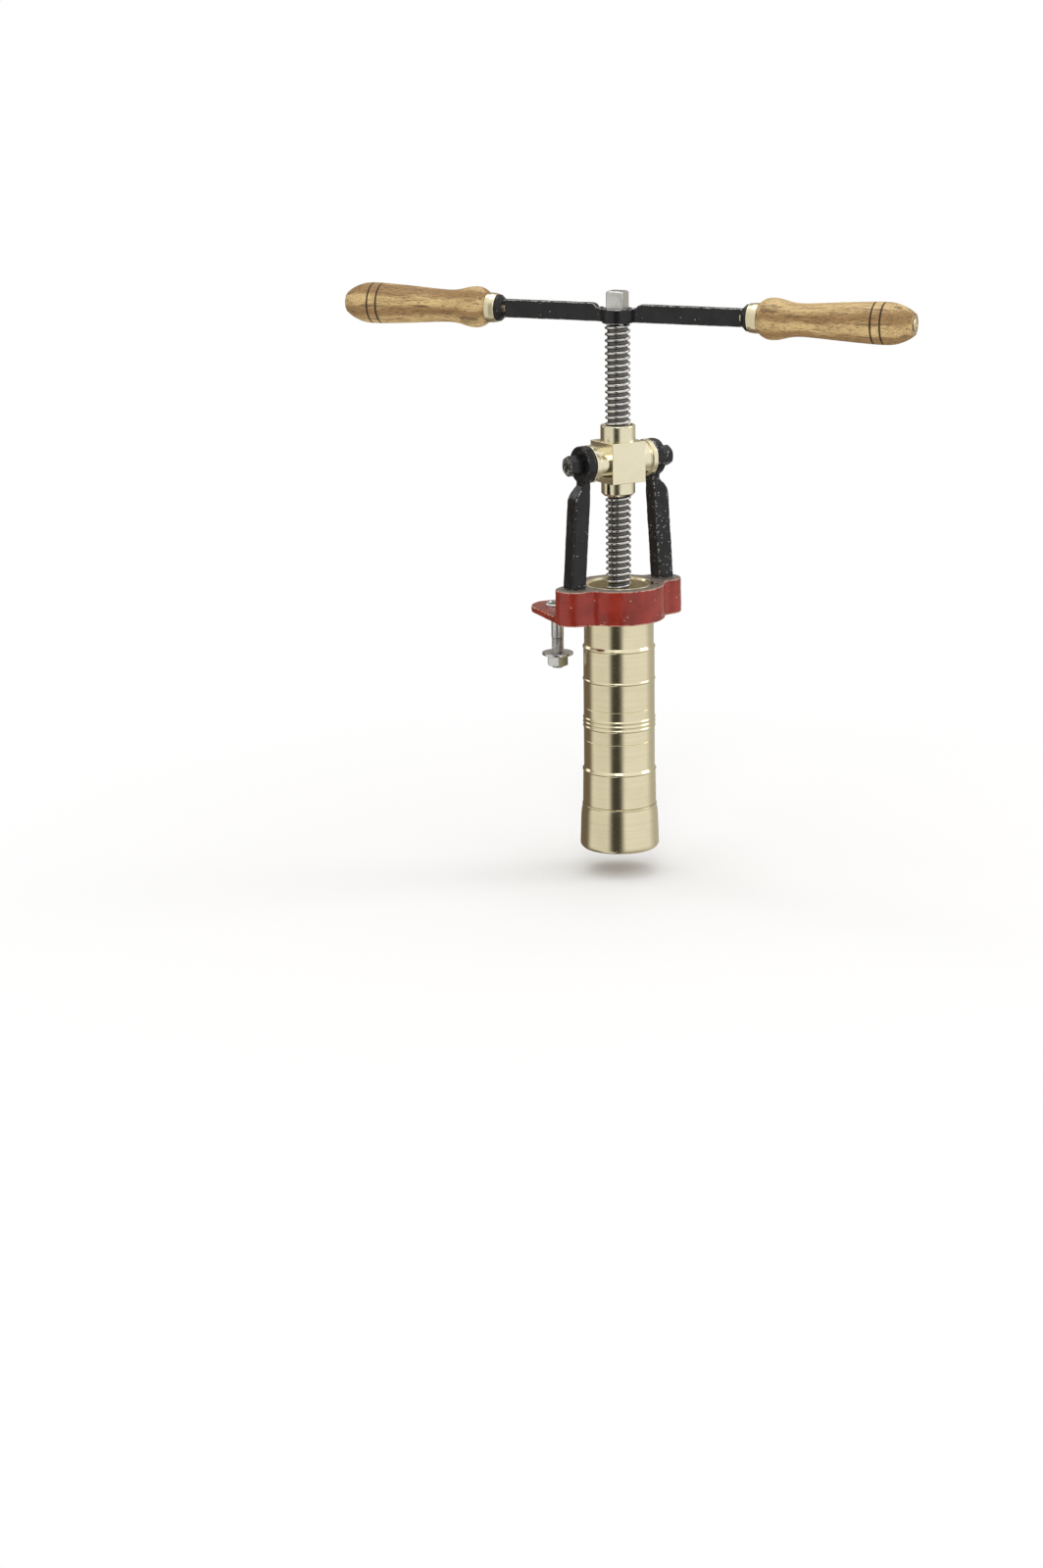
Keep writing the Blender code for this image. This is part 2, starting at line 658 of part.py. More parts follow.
def make_lead_screw():
    radius = SCREW_DIAMETER / 2
    neck = SCREW_NECK_DIAMETER / 2
    button = BUTTON_DIAMETER / 2
    shaft_top = hub_bottom - SEAT_GAP
    button_top = piston_top - SEAT_GAP
    button_bottom = button_top - BUTTON_HEIGHT
    profile = [
        (0, shaft_top), (radius - SCREW_CHAMFER, shaft_top), (radius, shaft_top - SCREW_CHAMFER),
        (radius, shaft_bottom + SCREW_CHAMFER), (radius - SCREW_CHAMFER, shaft_bottom),
        (neck, shaft_bottom), (neck, button_top), (button, button_top),
        (button, button_bottom), (0, button_bottom),
    ]
    screw = turned("lead_screw", profile, ROUND_STEPS, Matrix.Rotation(HANDLE_ANGLE, 4, "Z"))
    top = hub_top + SQUARE_ABOVE_HUB
    low = shaft_top - SCREW_CHAMFER
    facing = Matrix.Rotation(HANDLE_ANGLE, 4, "Z")
    size = (SQUARE_WIDTH, SQUARE_WIDTH, top - low)
    square = block("square_end", size, (0, 0, (top + low) / 2), facing, True)
    turned_radius = SQUARE_TURNED_DIAMETER / 2
    lathe_profile = [
        (0, top), (turned_radius - 2 * SQUARE_CHAMFER, top), (turned_radius, top - SQUARE_CHAMFER),
        (turned_radius, low - CUT_OVERRUN), (0, low - CUT_OVERRUN),
    ]
    lathe = turned("square_lathe", lathe_profile, ROUND_STEPS, facing, True)
    combine(square, lathe, "INTERSECT")
    combine(screw, square, "UNION")
    settle(screw, "steel")


# Press nut

def make_press_nut():
    size = (NUT_WIDTH, NUT_WIDTH, NUT_HEIGHT)
    nut = block("press_nut", size, (0, 0, NUT_AXIS_HEIGHT))
    bevel(nut, NUT_EDGE)
    high = TOP_BOSS_DIAMETER / 2
    low = LOW_BOSS_DIAMETER / 2
    step = NUT_AXIS_HEIGHT + NUT_HEIGHT / 3
    profile = [
        (0, nut_top), (high - TOP_BOSS_EDGE, nut_top), (high, nut_top - TOP_BOSS_EDGE),
        (high, step), (low, step), (low, nut_bottom + LOW_BOSS_CHAMFER),
        (low - LOW_BOSS_CHAMFER, nut_bottom), (0, nut_bottom),
    ]
    combine(nut, turned("nut_bosses", profile, ROUND_STEPS, tool=True), "UNION")
    stub = TRUNNION_DIAMETER / 2
    collar = TRUNNION_COLLAR_DIAMETER / 2
    edge = TRUNNION_COLLAR_EDGE
    collar_inner = trunnion_end - TRUNNION_COLLAR_LENGTH
    hole = PIVOT_DIAMETER / 2 + SEAT_GAP
    for side, word in ((-1, "left"), (1, "right")):
        place = along_x(side, NUT_AXIS_HEIGHT)
        root = SCREW_DIAMETER / 2
        shape = [
            (0, trunnion_end), (collar - edge, trunnion_end), (collar, trunnion_end - edge),
            (collar, collar_inner), (stub, collar_inner), (stub, root), (0, root),
        ]
        combine(nut, turned("trunnion_" + word, shape, ROUND_STEPS, place, True), "UNION")
    bore = SCREW_DIAMETER / 2 + SEAT_GAP
    drill = rod("nut_bore", bore, nut_bottom - CUT_OVERRUN, nut_top + CUT_OVERRUN, ROUND_STEPS, tool=True)
    combine(nut, drill, "DIFFERENCE")
    for side, word in ((-1, "left"), (1, "right")):
        place = along_x(side, NUT_AXIS_HEIGHT)
        floor = trunnion_end - PIVOT_REACH - SEAT_GAP
        mouth = trunnion_end + CUT_OVERRUN
        drill = rod("trunnion_drill_" + word, hole, floor, mouth, BOLT_STEPS, place, True)
        combine(nut, drill, "DIFFERENCE")
    settle(nut, "brass")


# Arms, pivot bolts and foot nuts

def arm_section(inner, outer, depth, height, side):
    # A rectangle with cut corners, across one arm at a height.
    cut = min(ARM_CHAMFER, (outer - inner) / 4)
    half = depth / 2
    points = [
        (inner, -half + cut), (inner + cut, -half), (outer - cut, -half), (outer, -half + cut),
        (outer, half - cut), (outer - cut, half), (inner + cut, half), (inner, half - cut),
    ]
    return [(side * x, y, height) for x, y in points]


def make_arm(side, word):
    foot = CASTING_HEIGHT + SEAT_GAP
    shoulder = NUT_AXIS_HEIGHT - ARM_SHOULDER_DROP
    neck = NUT_AXIS_HEIGHT - ARM_NECK_DROP
    inset = EYE_CHAMFER / 4
    neck_inner = eye_inner + inset
    neck_outer = eye_outer - inset
    foot_inner = boss_offset - ARM_WIDTH / 2
    shoulder_inner = foot_inner - ARM_TOP_INSET
    shoulder_outer = shoulder_inner + ARM_WIDTH
    sections = [
        arm_section(foot_inner, foot_inner + ARM_WIDTH, ARM_WIDTH, foot, side),
        arm_section(shoulder_inner, shoulder_outer, ARM_WIDTH, shoulder, side),
    ]
    for step in range(1, SHOULDER_STEPS + 1):
        share = step / SHOULDER_STEPS
        lean = 1 - math.cos(share * math.pi / 2)
        inner = shoulder_inner + (neck_inner - shoulder_inner) * share
        outer = shoulder_outer + (neck_outer - shoulder_outer) * lean
        depth = ARM_WIDTH + (ARM_NECK_DEPTH - ARM_WIDTH) * share
        sections.append(arm_section(inner, outer, depth, shoulder + (neck - shoulder) * share, side))
    eye_foot = NUT_AXIS_HEIGHT - (EYE_DIAMETER + PIVOT_DIAMETER) / 4
    sections.append(arm_section(neck_inner, neck_outer, ARM_NECK_DEPTH, eye_foot, side))
    arm = loft("arm_" + word, sections)
    radius = EYE_DIAMETER / 2
    profile = [
        (0, eye_outer), (radius - EYE_CHAMFER, eye_outer), (radius, eye_outer - EYE_CHAMFER),
        (radius, eye_inner + EYE_CHAMFER), (radius - EYE_CHAMFER, eye_inner), (0, eye_inner),
    ]
    place = along_x(side, NUT_AXIS_HEIGHT)
    combine(arm, turned("eye_" + word, profile, ROUND_STEPS, place, True), "UNION")
    boss = Matrix.Translation((side * boss_offset, 0, 0))
    spigot_foot = FOOT_POCKET_DEPTH - FOOT_WASHER_THICKNESS - FOOT_NUT_HEIGHT - 2 * SEAT_GAP
    root = foot + ARM_WIDTH / 2
    spigot = rod("spigot_" + word, SPIGOT_DIAMETER / 2, spigot_foot, root, BOLT_STEPS, boss, True)
    combine(arm, spigot, "UNION")
    hole = PIVOT_DIAMETER / 2 + SEAT_GAP
    low = eye_inner - CUT_OVERRUN
    high = eye_outer + CUT_OVERRUN
    combine(arm, rod("eye_drill_" + word, hole, low, high, BOLT_STEPS, place, True), "DIFFERENCE")
    settle(arm, "black_paint")

    bolt_end = pivot_head_start + PIVOT_HEAD_HEIGHT
    bolt = hex_solid("pivot_bolt_" + word, PIVOT_FLATS, pivot_head_start, bolt_end, place=place)
    tip = trunnion_end - PIVOT_REACH
    root = pivot_head_start + PIVOT_HEAD_HEIGHT / 2
    shank = rod("pivot_shank_" + word, PIVOT_DIAMETER / 2, tip, root, BOLT_STEPS, place, True)
    combine(bolt, shank, "UNION")
    settle(bolt, "black_paint")
    seat = eye_outer + SEAT_GAP
    lock = hex_solid("pivot_lock_nut_" + word, LOCK_NUT_FLATS, seat, lock_nut_outer, hole, place)
    settle(lock, "black_paint")

    washer_top = FOOT_POCKET_DEPTH - SEAT_GAP
    washer_bottom = washer_top - FOOT_WASHER_THICKNESS
    hole = SPIGOT_DIAMETER + 2 * SEAT_GAP
    name = "arm_washer_" + word
    settle(washer(name, FOOT_WASHER_DIAMETER, hole, washer_bottom, washer_top, boss), "zinc")
    high = washer_bottom - SEAT_GAP
    low = high - FOOT_NUT_HEIGHT
    settle(hex_solid("arm_nut_" + word, FOOT_NUT_FLATS, low, high, hole / 2, boss), "zinc")


# Crank bar

def bar_outline(grow, height):
    half = BAR_THICKNESS / 2 + grow
    hub = HUB_DIAMETER / 2 + grow
    fillet = BAR_FILLET - grow
    fillet_y = half + fillet
    fillet_x = math.sqrt((hub + fillet) ** 2 - fillet_y ** 2)
    hub_angle = math.atan2(fillet_y, fillet_x)
    quarter = arc((fillet_x, fillet_y), fillet, -math.pi / 2, hub_angle - math.pi, ARC_STEPS // 2)
    upper = [(BAR_REACH_NEAR + grow, half)] + quarter
    upper += [(-x, y) for x, y in reversed(quarter)] + [(-BAR_REACH_FAR - grow, half)]
    return [(x, y, height) for x, y in upper + [(x, -y) for x, y in reversed(upper)]]


def make_crank_bar():
    facing = Matrix.Rotation(HANDLE_ANGLE, 4, "Z")
    bar_top = bar_bottom + BAR_HEIGHT
    bar = loft("crank_bar", [
        bar_outline(-BAR_EDGE, bar_bottom), bar_outline(0, bar_bottom + BAR_EDGE),
        bar_outline(0, bar_top - BAR_EDGE), bar_outline(-BAR_EDGE, bar_top),
    ], facing)
    spot = SPOT_FACE_DIAMETER / 2
    spot_floor = hub_top - 2 * HUB_EDGE
    spot_cut = rod("spot_face", spot, spot_floor, bar_top + CUT_OVERRUN, ROUND_STEPS, facing, True)
    combine(bar, spot_cut, "DIFFERENCE")
    radius = HUB_DIAMETER / 2
    hub_profile = [
        (0, hub_top), (radius - HUB_EDGE, hub_top), (radius, hub_top - HUB_EDGE),
        (radius, hub_bottom + HUB_EDGE), (radius - HUB_EDGE, hub_bottom), (0, hub_bottom),
    ]
    combine(bar, turned("hub", hub_profile, ROUND_STEPS, facing, True), "UNION")
    width = SQUARE_WIDTH + 2 * SEAT_GAP
    size = (width, width, HUB_HEIGHT + BAR_HEIGHT + 2 * CUT_OVERRUN)
    centre = (0, 0, (hub_bottom + bar_top) / 2)
    combine(bar, block("square_hole", size, centre, facing, True), "DIFFERENCE")
    tang = TANG_DIAMETER / 2
    head = TANG_HEAD_DIAMETER / 2
    head_start = grip_end + SEAT_GAP
    head_end = head_start + TANG_HEAD_HEIGHT
    for side, word in ((-1, "left"), (1, "right")):
        profile = [
            (0, head_end), (head / 2, head_end), (head, head_start + TANG_HEAD_HEIGHT / 3),
            (head, head_start), (tang, head_start), (tang, -BAR_EDGE), (0, -BAR_FILLET),
        ]
        combine(bar, turned("tang_" + word, profile, BOLT_STEPS, along_handle(side), True), "UNION")
    settle(bar, "black_paint")


# Collars, ferrules, grips and end washers

def grip_radius(share):
    # A smooth curve through the grip's outline.
    table = GRIP_SHARES
    last = len(table) - 1
    index = 0
    while index < last - 1 and share > table[index + 1][0]:
        index += 1
    before, start = table[max(index - 1, 0)], table[index]
    end, after = table[index + 1], table[min(index + 2, last)]
    span = end[0] - start[0]
    t = (share - start[0]) / span
    slope_start = (end[1] - before[1]) / (end[0] - before[0]) * span
    slope_end = (after[1] - start[1]) / (after[0] - start[0]) * span
    radius_share = (
        (2 * t ** 3 - 3 * t ** 2 + 1) * start[1] + (t ** 3 - 2 * t ** 2 + t) * slope_start
        + (3 * t ** 2 - 2 * t ** 3) * end[1] + (t ** 3 - t ** 2) * slope_end)
    return GRIP_DIAMETER / 2 * radius_share


def make_handle_side(side, word):
    place = along_handle(side)
    bore = TANG_DIAMETER / 2 + SEAT_GAP
    rim = COLLAR_DIAMETER / 2
    neck = COLLAR_NECK_DIAMETER / 2
    collar_end = collar_start + COLLAR_LENGTH
    profile = [
        (bore, collar_end), (rim - COLLAR_RIM / 4, collar_end), (rim, collar_end - COLLAR_RIM / 4),
        (rim, collar_end - COLLAR_RIM), ((rim + neck) / 2, collar_end - (COLLAR_RIM + COLLAR_LENGTH) / 2),
        (neck, collar_start), (bore, collar_start),
    ]
    settle(turned("collar_" + word, profile, ROUND_STEPS, place, closed=True), "black_paint")

    outer = FERRULE_DIAMETER / 2
    small = FERRULE_END_DIAMETER / 2
    spigot = small - FERRULE_WALL - SEAT_GAP
    lip = FERRULE_LIP_DIAMETER / 2
    inside = small - FERRULE_WALL
    profile = [
        (outer, grip_start - SEAT_GAP), (small + FERRULE_EDGE / 2, ferrule_start + FERRULE_EDGE),
        (small, ferrule_start), (lip, ferrule_start), (lip, ferrule_start + FERRULE_WALL),
        (inside, ferrule_start + FERRULE_WALL), (inside, grip_start - SEAT_GAP),
    ]
    settle(turned("ferrule_" + word, profile, ROUND_STEPS, place, closed=True), "brass")

    spigot_end = ferrule_start + FERRULE_WALL + SEAT_GAP
    washer_pocket = END_WASHER_DIAMETER / 2 + SEAT_GAP
    pocket_floor = washer_seat - SEAT_GAP
    shares = [share for share, _ in GRIP_SHARES]
    notches = {}
    for groove in GROOVE_SHARES:
        half = GROOVE_WIDTH / GRIP_LENGTH / 2
        for share, depth in ((groove - half, 0), (groove, GROOVE_DEPTH), (groove + half, 0)):
            notches[share] = depth
    outline = []
    for share in sorted(set(shares) | set(notches), reverse=True):
        radius = grip_radius(share) - notches.get(share, 0)
        outline.append((radius, grip_start + GRIP_LENGTH * share))
    profile = [(washer_pocket, grip_end)] + outline
    profile += [(spigot, grip_start), (spigot, spigot_end), (bore, spigot_end), (bore, pocket_floor)]
    profile += [(washer_pocket, pocket_floor)]
    settle(turned("grip_" + word, profile, GRIP_STEPS, place, closed=True), "wood")
    disc = washer("end_washer_" + word, END_WASHER_DIAMETER, TANG_DIAMETER + 2 * SEAT_GAP,
                  washer_seat, grip_end, place)
    settle(disc, "zinc")


# Bench bolts, washers and nuts

def make_bench_fixing(side, word):
    ear = Matrix.Translation((side * EAR_SPREAD, EAR_REACH, 0))
    radius = BENCH_BOLT_DIAMETER / 2
    head = BENCH_HEAD_DIAMETER / 2
    seat = EAR_THICKNESS + SEAT_GAP
    rise = BENCH_HEAD_HEIGHT - BENCH_HEAD_RIM
    tail = -BENCH_THICKNESS - BENCH_BOLT_TAIL
    quarter = arc((0, 0), head, math.pi / 2, 0)
    dome = [(x, seat + BENCH_HEAD_RIM + y * rise / head) for x, y in quarter[1:]]
    profile = [(0, seat + BENCH_HEAD_HEIGHT)] + dome
    profile += [(head, seat), (radius, seat), (radius, tail), (0, tail)]
    settle(turned("bench_bolt_" + word, profile, ROUND_STEPS, ear), "zinc")
    washer_top = -BENCH_THICKNESS
    washer_bottom = washer_top - BENCH_WASHER_THICKNESS
    hole = BENCH_BOLT_DIAMETER + 2 * SEAT_GAP
    disc = washer("bench_washer_" + word, BENCH_WASHER_DIAMETER, hole, washer_bottom, washer_top, ear)
    settle(disc, "zinc")
    high = washer_bottom - SEAT_GAP
    low = high - BENCH_NUT_HEIGHT
    settle(hex_solid("bench_nut_" + word, BENCH_NUT_FLATS, low, high, hole / 2, ear), "zinc")


# The whole press

make_casting()
make_barrel()
make_ring_nut()
make_die()
make_piston()
make_keeper()
make_lead_screw()
make_press_nut()
make_crank_bar()
for hand_side, hand_word in ((-1, "left"), (1, "right")):
    make_arm(hand_side, hand_word)
    make_handle_side(hand_side, hand_word)
    make_bench_fixing(hand_side, hand_word)
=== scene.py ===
# Bench pasta press: the finished surfaces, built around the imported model.
# Metres, +Z up, the screw's axis at x = 0 and y = 0. Each piece keeps its place in its own mesh.

import math
import time

import bmesh
import bpy
from mathutils import Matrix, Vector, noise


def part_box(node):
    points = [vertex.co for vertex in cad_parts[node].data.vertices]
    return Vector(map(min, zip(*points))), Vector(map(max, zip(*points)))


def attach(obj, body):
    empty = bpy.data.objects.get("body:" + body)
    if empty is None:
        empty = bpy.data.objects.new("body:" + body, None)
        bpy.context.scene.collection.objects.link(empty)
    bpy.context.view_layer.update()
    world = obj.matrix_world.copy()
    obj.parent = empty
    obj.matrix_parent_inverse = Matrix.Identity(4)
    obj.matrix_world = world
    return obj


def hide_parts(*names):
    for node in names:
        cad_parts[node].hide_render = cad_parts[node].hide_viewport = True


begun = time.perf_counter()
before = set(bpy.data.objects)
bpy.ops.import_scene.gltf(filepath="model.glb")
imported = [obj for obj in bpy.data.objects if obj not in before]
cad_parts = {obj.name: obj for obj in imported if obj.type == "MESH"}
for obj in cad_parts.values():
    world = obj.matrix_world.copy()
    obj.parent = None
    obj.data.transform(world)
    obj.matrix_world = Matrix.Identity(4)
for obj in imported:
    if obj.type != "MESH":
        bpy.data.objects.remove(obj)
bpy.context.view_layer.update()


def tell(words):
    print(words, round(time.perf_counter() - begun, 1), "s", flush=True)


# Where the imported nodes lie

def heights(node):
    low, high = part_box(node)
    return low.z, high.z


def middleOf(node):
    # the mean of a turned node's corners lies on its axis
    corners = {tuple(round(part, 6) for part in vertex.co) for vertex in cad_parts[node].data.vertices}
    return sum((Vector(corner) for corner in corners), Vector()) / len(corners)


castingBottom, castingTop = heights("bracket_casting")
barrelBottom, barrelTop = heights("barrel")
ringNutBottom, ringNutTop = heights("ring_nut")
dieBottom, dieTop = heights("die")
nutBottom, nutTop = heights("press_nut")
keeperTop = heights("piston_keeper_front")[1]
pistonTop = heights("piston_body")[1]
screwTop = heights("lead_screw")[1]
barBottom = heights("crank_bar")[0]
pivotHeight = sum(heights("pivot_bolt_right")) / 2
gripMiddle = middleOf("grip_right")
handleHeight = gripMiddle.z
handleTurn = math.atan2(gripMiddle.y, gripMiddle.x)
seatGap = 0.0003
overCut = 0.003  # how far a cutting shape runs past the face that it cuts
upward = (0.0, 0.0, 1.0)
facingHandle = Matrix.Rotation(handleTurn, 4, "Z")


def alongX(side, height):
    # a piece's own +Z points out along +X or -X
    return Matrix.Translation((0, 0, height)) @ Matrix.Rotation(side * math.pi / 2, 4, "Y")


def alongHandle(side):
    # a piece's own +Z points out along the near (+1) or far (-1) half of the handle
    turn = facingHandle @ Matrix.Rotation(side * math.pi / 2, 4, "Y")
    return Matrix.Translation((0, 0, handleHeight)) @ turn


def reachAlongHandle(node, side, farEnd):
    # how far from the screw's axis a node of the handle starts or ends
    direction = Vector((math.cos(handleTurn), math.sin(handleTurn), 0)) * side
    reaches = [vertex.co.dot(direction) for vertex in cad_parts[node].data.vertices]
    return max(reaches) if farEnd else min(reaches)


# Camera and frame of the picture

cameraSettings = {
    "azimuth": math.radians(-32.24), "pitch": math.radians(14.80), "roll": math.radians(-0.70),
    "distance": 3.258, "right": -0.09452, "height": -0.16301, "focalPixels": 3447, "longSide": 1600,
}


def makeCamera(settings):
    azimuth, pitch, roll = settings["azimuth"], settings["pitch"], settings["roll"]
    forward = Vector((
        math.sin(-azimuth) * math.cos(pitch), math.cos(azimuth) * math.cos(pitch), -math.sin(pitch)))
    right = forward.cross(Vector(upward)).normalized()
    up = right.cross(forward)
    tiltedRight = right * math.cos(roll) + up * math.sin(roll)
    tiltedUp = up * math.cos(roll) - right * math.sin(roll)
    camera = bpy.data.cameras.new("pressCamera")
    camera.sensor_width = 36
    camera.lens = settings["focalPixels"] * camera.sensor_width / settings["longSide"]
    camera.clip_start = 0.05
    camera.clip_end = 200
    holder = bpy.data.objects.new("pressCamera", camera)
    matrix = Matrix((tiltedRight, tiltedUp, -forward)).transposed().to_4x4()
    matrix.translation = (
        right * settings["right"] + Vector((0, 0, settings["height"])) - forward * settings["distance"])
    holder.matrix_world = matrix
    bpy.context.scene.collection.objects.link(holder)
    bpy.context.scene.camera = holder


makeCamera(cameraSettings)
tell("camera set")


# Mesh helpers

def newPiece(name, mesh):
    piece = bpy.data.objects.new(name, mesh)
    bpy.context.scene.collection.objects.link(piece)
    return piece


def meshFrom(name, solid, place=None):
    bmesh.ops.recalc_face_normals(solid, faces=solid.faces)
    mesh = bpy.data.meshes.new(name)
    solid.to_mesh(mesh)
    solid.free()
    if place:
        mesh.transform(place)
    return mesh


def arcPoints(centre, radius, start, end, steps):
    angles = [start + (end - start) * step / steps for step in range(steps + 1)]
    return [(centre[0] + radius * math.cos(angle), centre[1] + radius * math.sin(angle)) for angle in angles]


def roundCorners(corners, steps=4):
    # corners of a closed outline as (x, y, radius of the rounding)
    points = []
    count = len(corners)
    longest = 0.48  # share of a side that one rounding may take
    for index, (x, y, rounding) in enumerate(corners):
        if rounding == 0:
            points.append((x, y))
            continue
        here = Vector((x, y))
        back = Vector(corners[index - 1][:2]) - here
        ahead = Vector(corners[(index + 1) % count][:2]) - here
        half = back.angle(ahead) / 2
        reach = min(rounding / math.tan(half), back.length * longest, ahead.length * longest)
        radius = reach * math.tan(half)
        centre = here + (back.normalized() + ahead.normalized()).normalized() * radius / math.sin(half)
        first = here + back.normalized() * reach - centre
        last = here + ahead.normalized() * reach - centre
        start = math.atan2(first.y, first.x)
        sweep = (math.atan2(last.y, last.x) - start + math.pi) % math.tau - math.pi
        points += arcPoints(centre, radius, start, start + sweep, steps)
    return points


def lathe(name, points, steps, place=None):
    # points go round the section as (radius, height); one on the axis becomes a pole
    solid = bmesh.new()
    rings = []
    for radius, height in points:
        if radius < 1e-7:
            rings.append([solid.verts.new((0, 0, height))])
        else:
            rings.append([
                solid.verts.new((radius * math.cos(math.tau * step / steps),
                                 radius * math.sin(math.tau * step / steps), height))
                for step in range(steps)])
    for ring, after in zip(rings, rings[1:] + rings[:1]):
        if len(ring) == 1 and len(after) == 1:
            continue
        for step in range(steps):
            following = (step + 1) % steps
            if len(ring) == 1:
                corners = (ring[0], after[following], after[step])
            elif len(after) == 1:
                corners = (ring[step], ring[following], after[0])
            else:
                corners = (ring[step], ring[following], after[following], after[step])
            solid.faces.new(corners)
    return newPiece(name, meshFrom(name, solid, place))


def turned(name, corners, roundSteps, steps, place=None):
    # a lathe piece from corners as (radius, height, radius of the rounding)
    return lathe(name, roundCorners(corners, roundSteps), steps, place)


def rod(name, radius, low, high, steps, place=None):
    return lathe(name, [(0, high), (radius, high), (radius, low), (0, low)], steps, place)


def loft(name, rings, place=None):
    # skin between rings that have the same number of points
    solid = bmesh.new()
    loops = [[solid.verts.new(point) for point in ring] for ring in rings]
    solid.faces.new(reversed(loops[0]))
    solid.faces.new(loops[-1])
    for lower, upper in zip(loops, loops[1:]):
        for index in range(len(lower)):
            after = (index + 1) % len(lower)
            solid.faces.new((lower[index], lower[after], upper[after], upper[index]))
    return newPiece(name, meshFrom(name, solid, place))


def prism(name, outline, low, high, place=None):
    return loft(name, [[(x, y, low) for x, y in outline], [(x, y, high) for x, y in outline]], place)


def squareCorners(width):
    half = width / 2
    return [(half, half), (-half, half), (-half, -half), (half, -half)]


def combine(piece, operation, *others):
    for other in others:
        step = piece.modifiers.new(operation.lower(), "BOOLEAN")
        step.operation = operation
        step.solver = "EXACT"
        step.object = other


def plainMesh(piece, *tools):
    # keeps what the modifiers make, and drops the shapes that cut or joined it
    bpy.context.view_layer.update()
    graph = bpy.context.evaluated_depsgraph_get()
    mesh = bpy.data.meshes.new_from_object(piece.evaluated_get(graph))
    piece.modifiers.clear()
    old = piece.data
    piece.data = mesh
    bpy.data.meshes.remove(old)
    for tool in tools:
        bpy.data.objects.remove(tool, do_unlink=True)
    return piece


def softenEdges(piece, width, segments=2):
    edge = piece.modifiers.new("edges", "BEVEL")
    edge.width = width
    edge.segments = segments
    edge.limit_method = "ANGLE"
    edge.angle_limit = math.radians(35)
    return plainMesh(piece)


def markEdges(piece, spread):
    # "edgeWear" is high along outward corners, where paint rubs off
    mesh = piece.data
    solid = bmesh.new()
    solid.from_mesh(mesh)
    values = []
    for vertex in solid.verts:
        angles = [edge.calc_face_angle_signed(0) for edge in vertex.link_edges if edge.is_manifold]
        values.append(max(0.0, sum(angles)))
    neighbours = [[edge.other_vert(vertex).index for edge in vertex.link_edges] for vertex in solid.verts]
    for _ in range(spread):
        values = [
            (value + sum(values[index] for index in near) / max(1, len(near))) / 2
            for value, near in zip(values, neighbours)]
    solid.free()
    fullyWorn = 0.985  # share of the corners below full wear
    top = sorted(values)[int(len(values) * fullyWorn)] or 1.0
    layer = mesh.attributes.new("edgeWear", "FLOAT", "POINT")
    layer.data.foreach_set("value", [min(1.0, value / top) for value in values])


def forgedSkin(piece, shape):
    # one even skin with softened edges and a faint unevenness, as forging and casting leave
    seed, scale, depth = shape["skinSeed"], shape["skinScale"], shape["skinDepth"]
    remesh = piece.modifiers.new("skin", "REMESH")
    remesh.mode = "VOXEL"
    remesh.voxel_size = shape["voxel"]
    soft = piece.modifiers.new("soft", "SMOOTH")
    soft.factor = 0.5
    soft.iterations = shape["smoothing"]
    mesh = plainMesh(piece).data
    offset = Vector((seed, -seed, seed / 2))
    lifts = [
        vertex.normal * noise.fractal(vertex.co / scale + offset, 1.0, 2.0, 3) * depth
        for vertex in mesh.vertices]
    for vertex, lift in zip(mesh.vertices, lifts):
        vertex.co += lift
    mesh.update()
    markEdges(piece, shape["wearSpread"])


def smoothShade(piece, sharp, evenSkin):
    piece.data.shade_smooth()
    piece.data.set_sharp_from_angle(angle=math.radians(sharp))
    if not evenSkin:
        # large faces rule the normals, so flats stay flat beside their rounded edges
        weigh = piece.modifiers.new("weigh", "WEIGHTED_NORMAL")
        weigh.keep_sharp = True
        weigh.weight = 90
        plainMesh(piece)


def settle(piece, body, material, node, sharp=35, evenSkin=False):
    # shaded, coloured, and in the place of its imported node; a sharp of 0 keeps the shading
    if sharp:
        smoothShade(piece, sharp, evenSkin)
    piece.data.materials.clear()
    piece.data.materials.append(material)
    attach(piece, body)
    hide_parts(node)


# Node helpers for every kind of tree

def connect(tree, value, socket):
    if isinstance(value, (int, float, tuple)):
        socket.default_value = value
    else:
        tree.links.new(value, socket)


def addNode(tree, kind, inputs=None, **settings):
    node = tree.nodes.new(kind)
    for label, value in settings.items():
        setattr(node, label, value)
    for label, value in (inputs or {}).items():
        connect(tree, value, node.inputs[label])
    return node


def calculator(tree):
    def calc(operation, *values):
        return addNode(tree, "ShaderNodeMath", dict(enumerate(values)), operation=operation).outputs[0]
    return calc


def splitAxes(tree, vector):
    return addNode(tree, "ShaderNodeSeparateXYZ", {0: vector}).outputs


def lengthOf(tree, vector):
    return addNode(tree, "ShaderNodeVectorMath", {0: vector}, operation="LENGTH").outputs["Value"]


def ramp(tree, value, low, high, outLow=0.0, outHigh=1.0):
    return addNode(tree, "ShaderNodeMapRange", {
        "Value": value, "From Min": low, "From Max": high, "To Min": outLow, "To Max": outHigh},
        interpolation_type="SMOOTHSTEP").outputs["Result"]


def newTree(name, kind, inputs, outputs):
    # sockets as (label, kind) or (label, kind, value)
    tree = bpy.data.node_groups.new(name, kind)
    for direction, rows in (("INPUT", inputs), ("OUTPUT", outputs)):
        for label, socketKind, *value in rows:
            socket = tree.interface.new_socket(
                name=label, in_out=direction, socket_type="NodeSocket" + socketKind)
            if value:
                socket.default_value = value[0]
    given = tree.nodes.new("NodeGroupInput").outputs
    return tree, given, tree.nodes.new("NodeGroupOutput"), calculator(tree)


def closeGroup(tree, end, **values):
    for label, value in values.items():
        tree.links.new(value, end.inputs[label])
    return tree


# Geometry Nodes

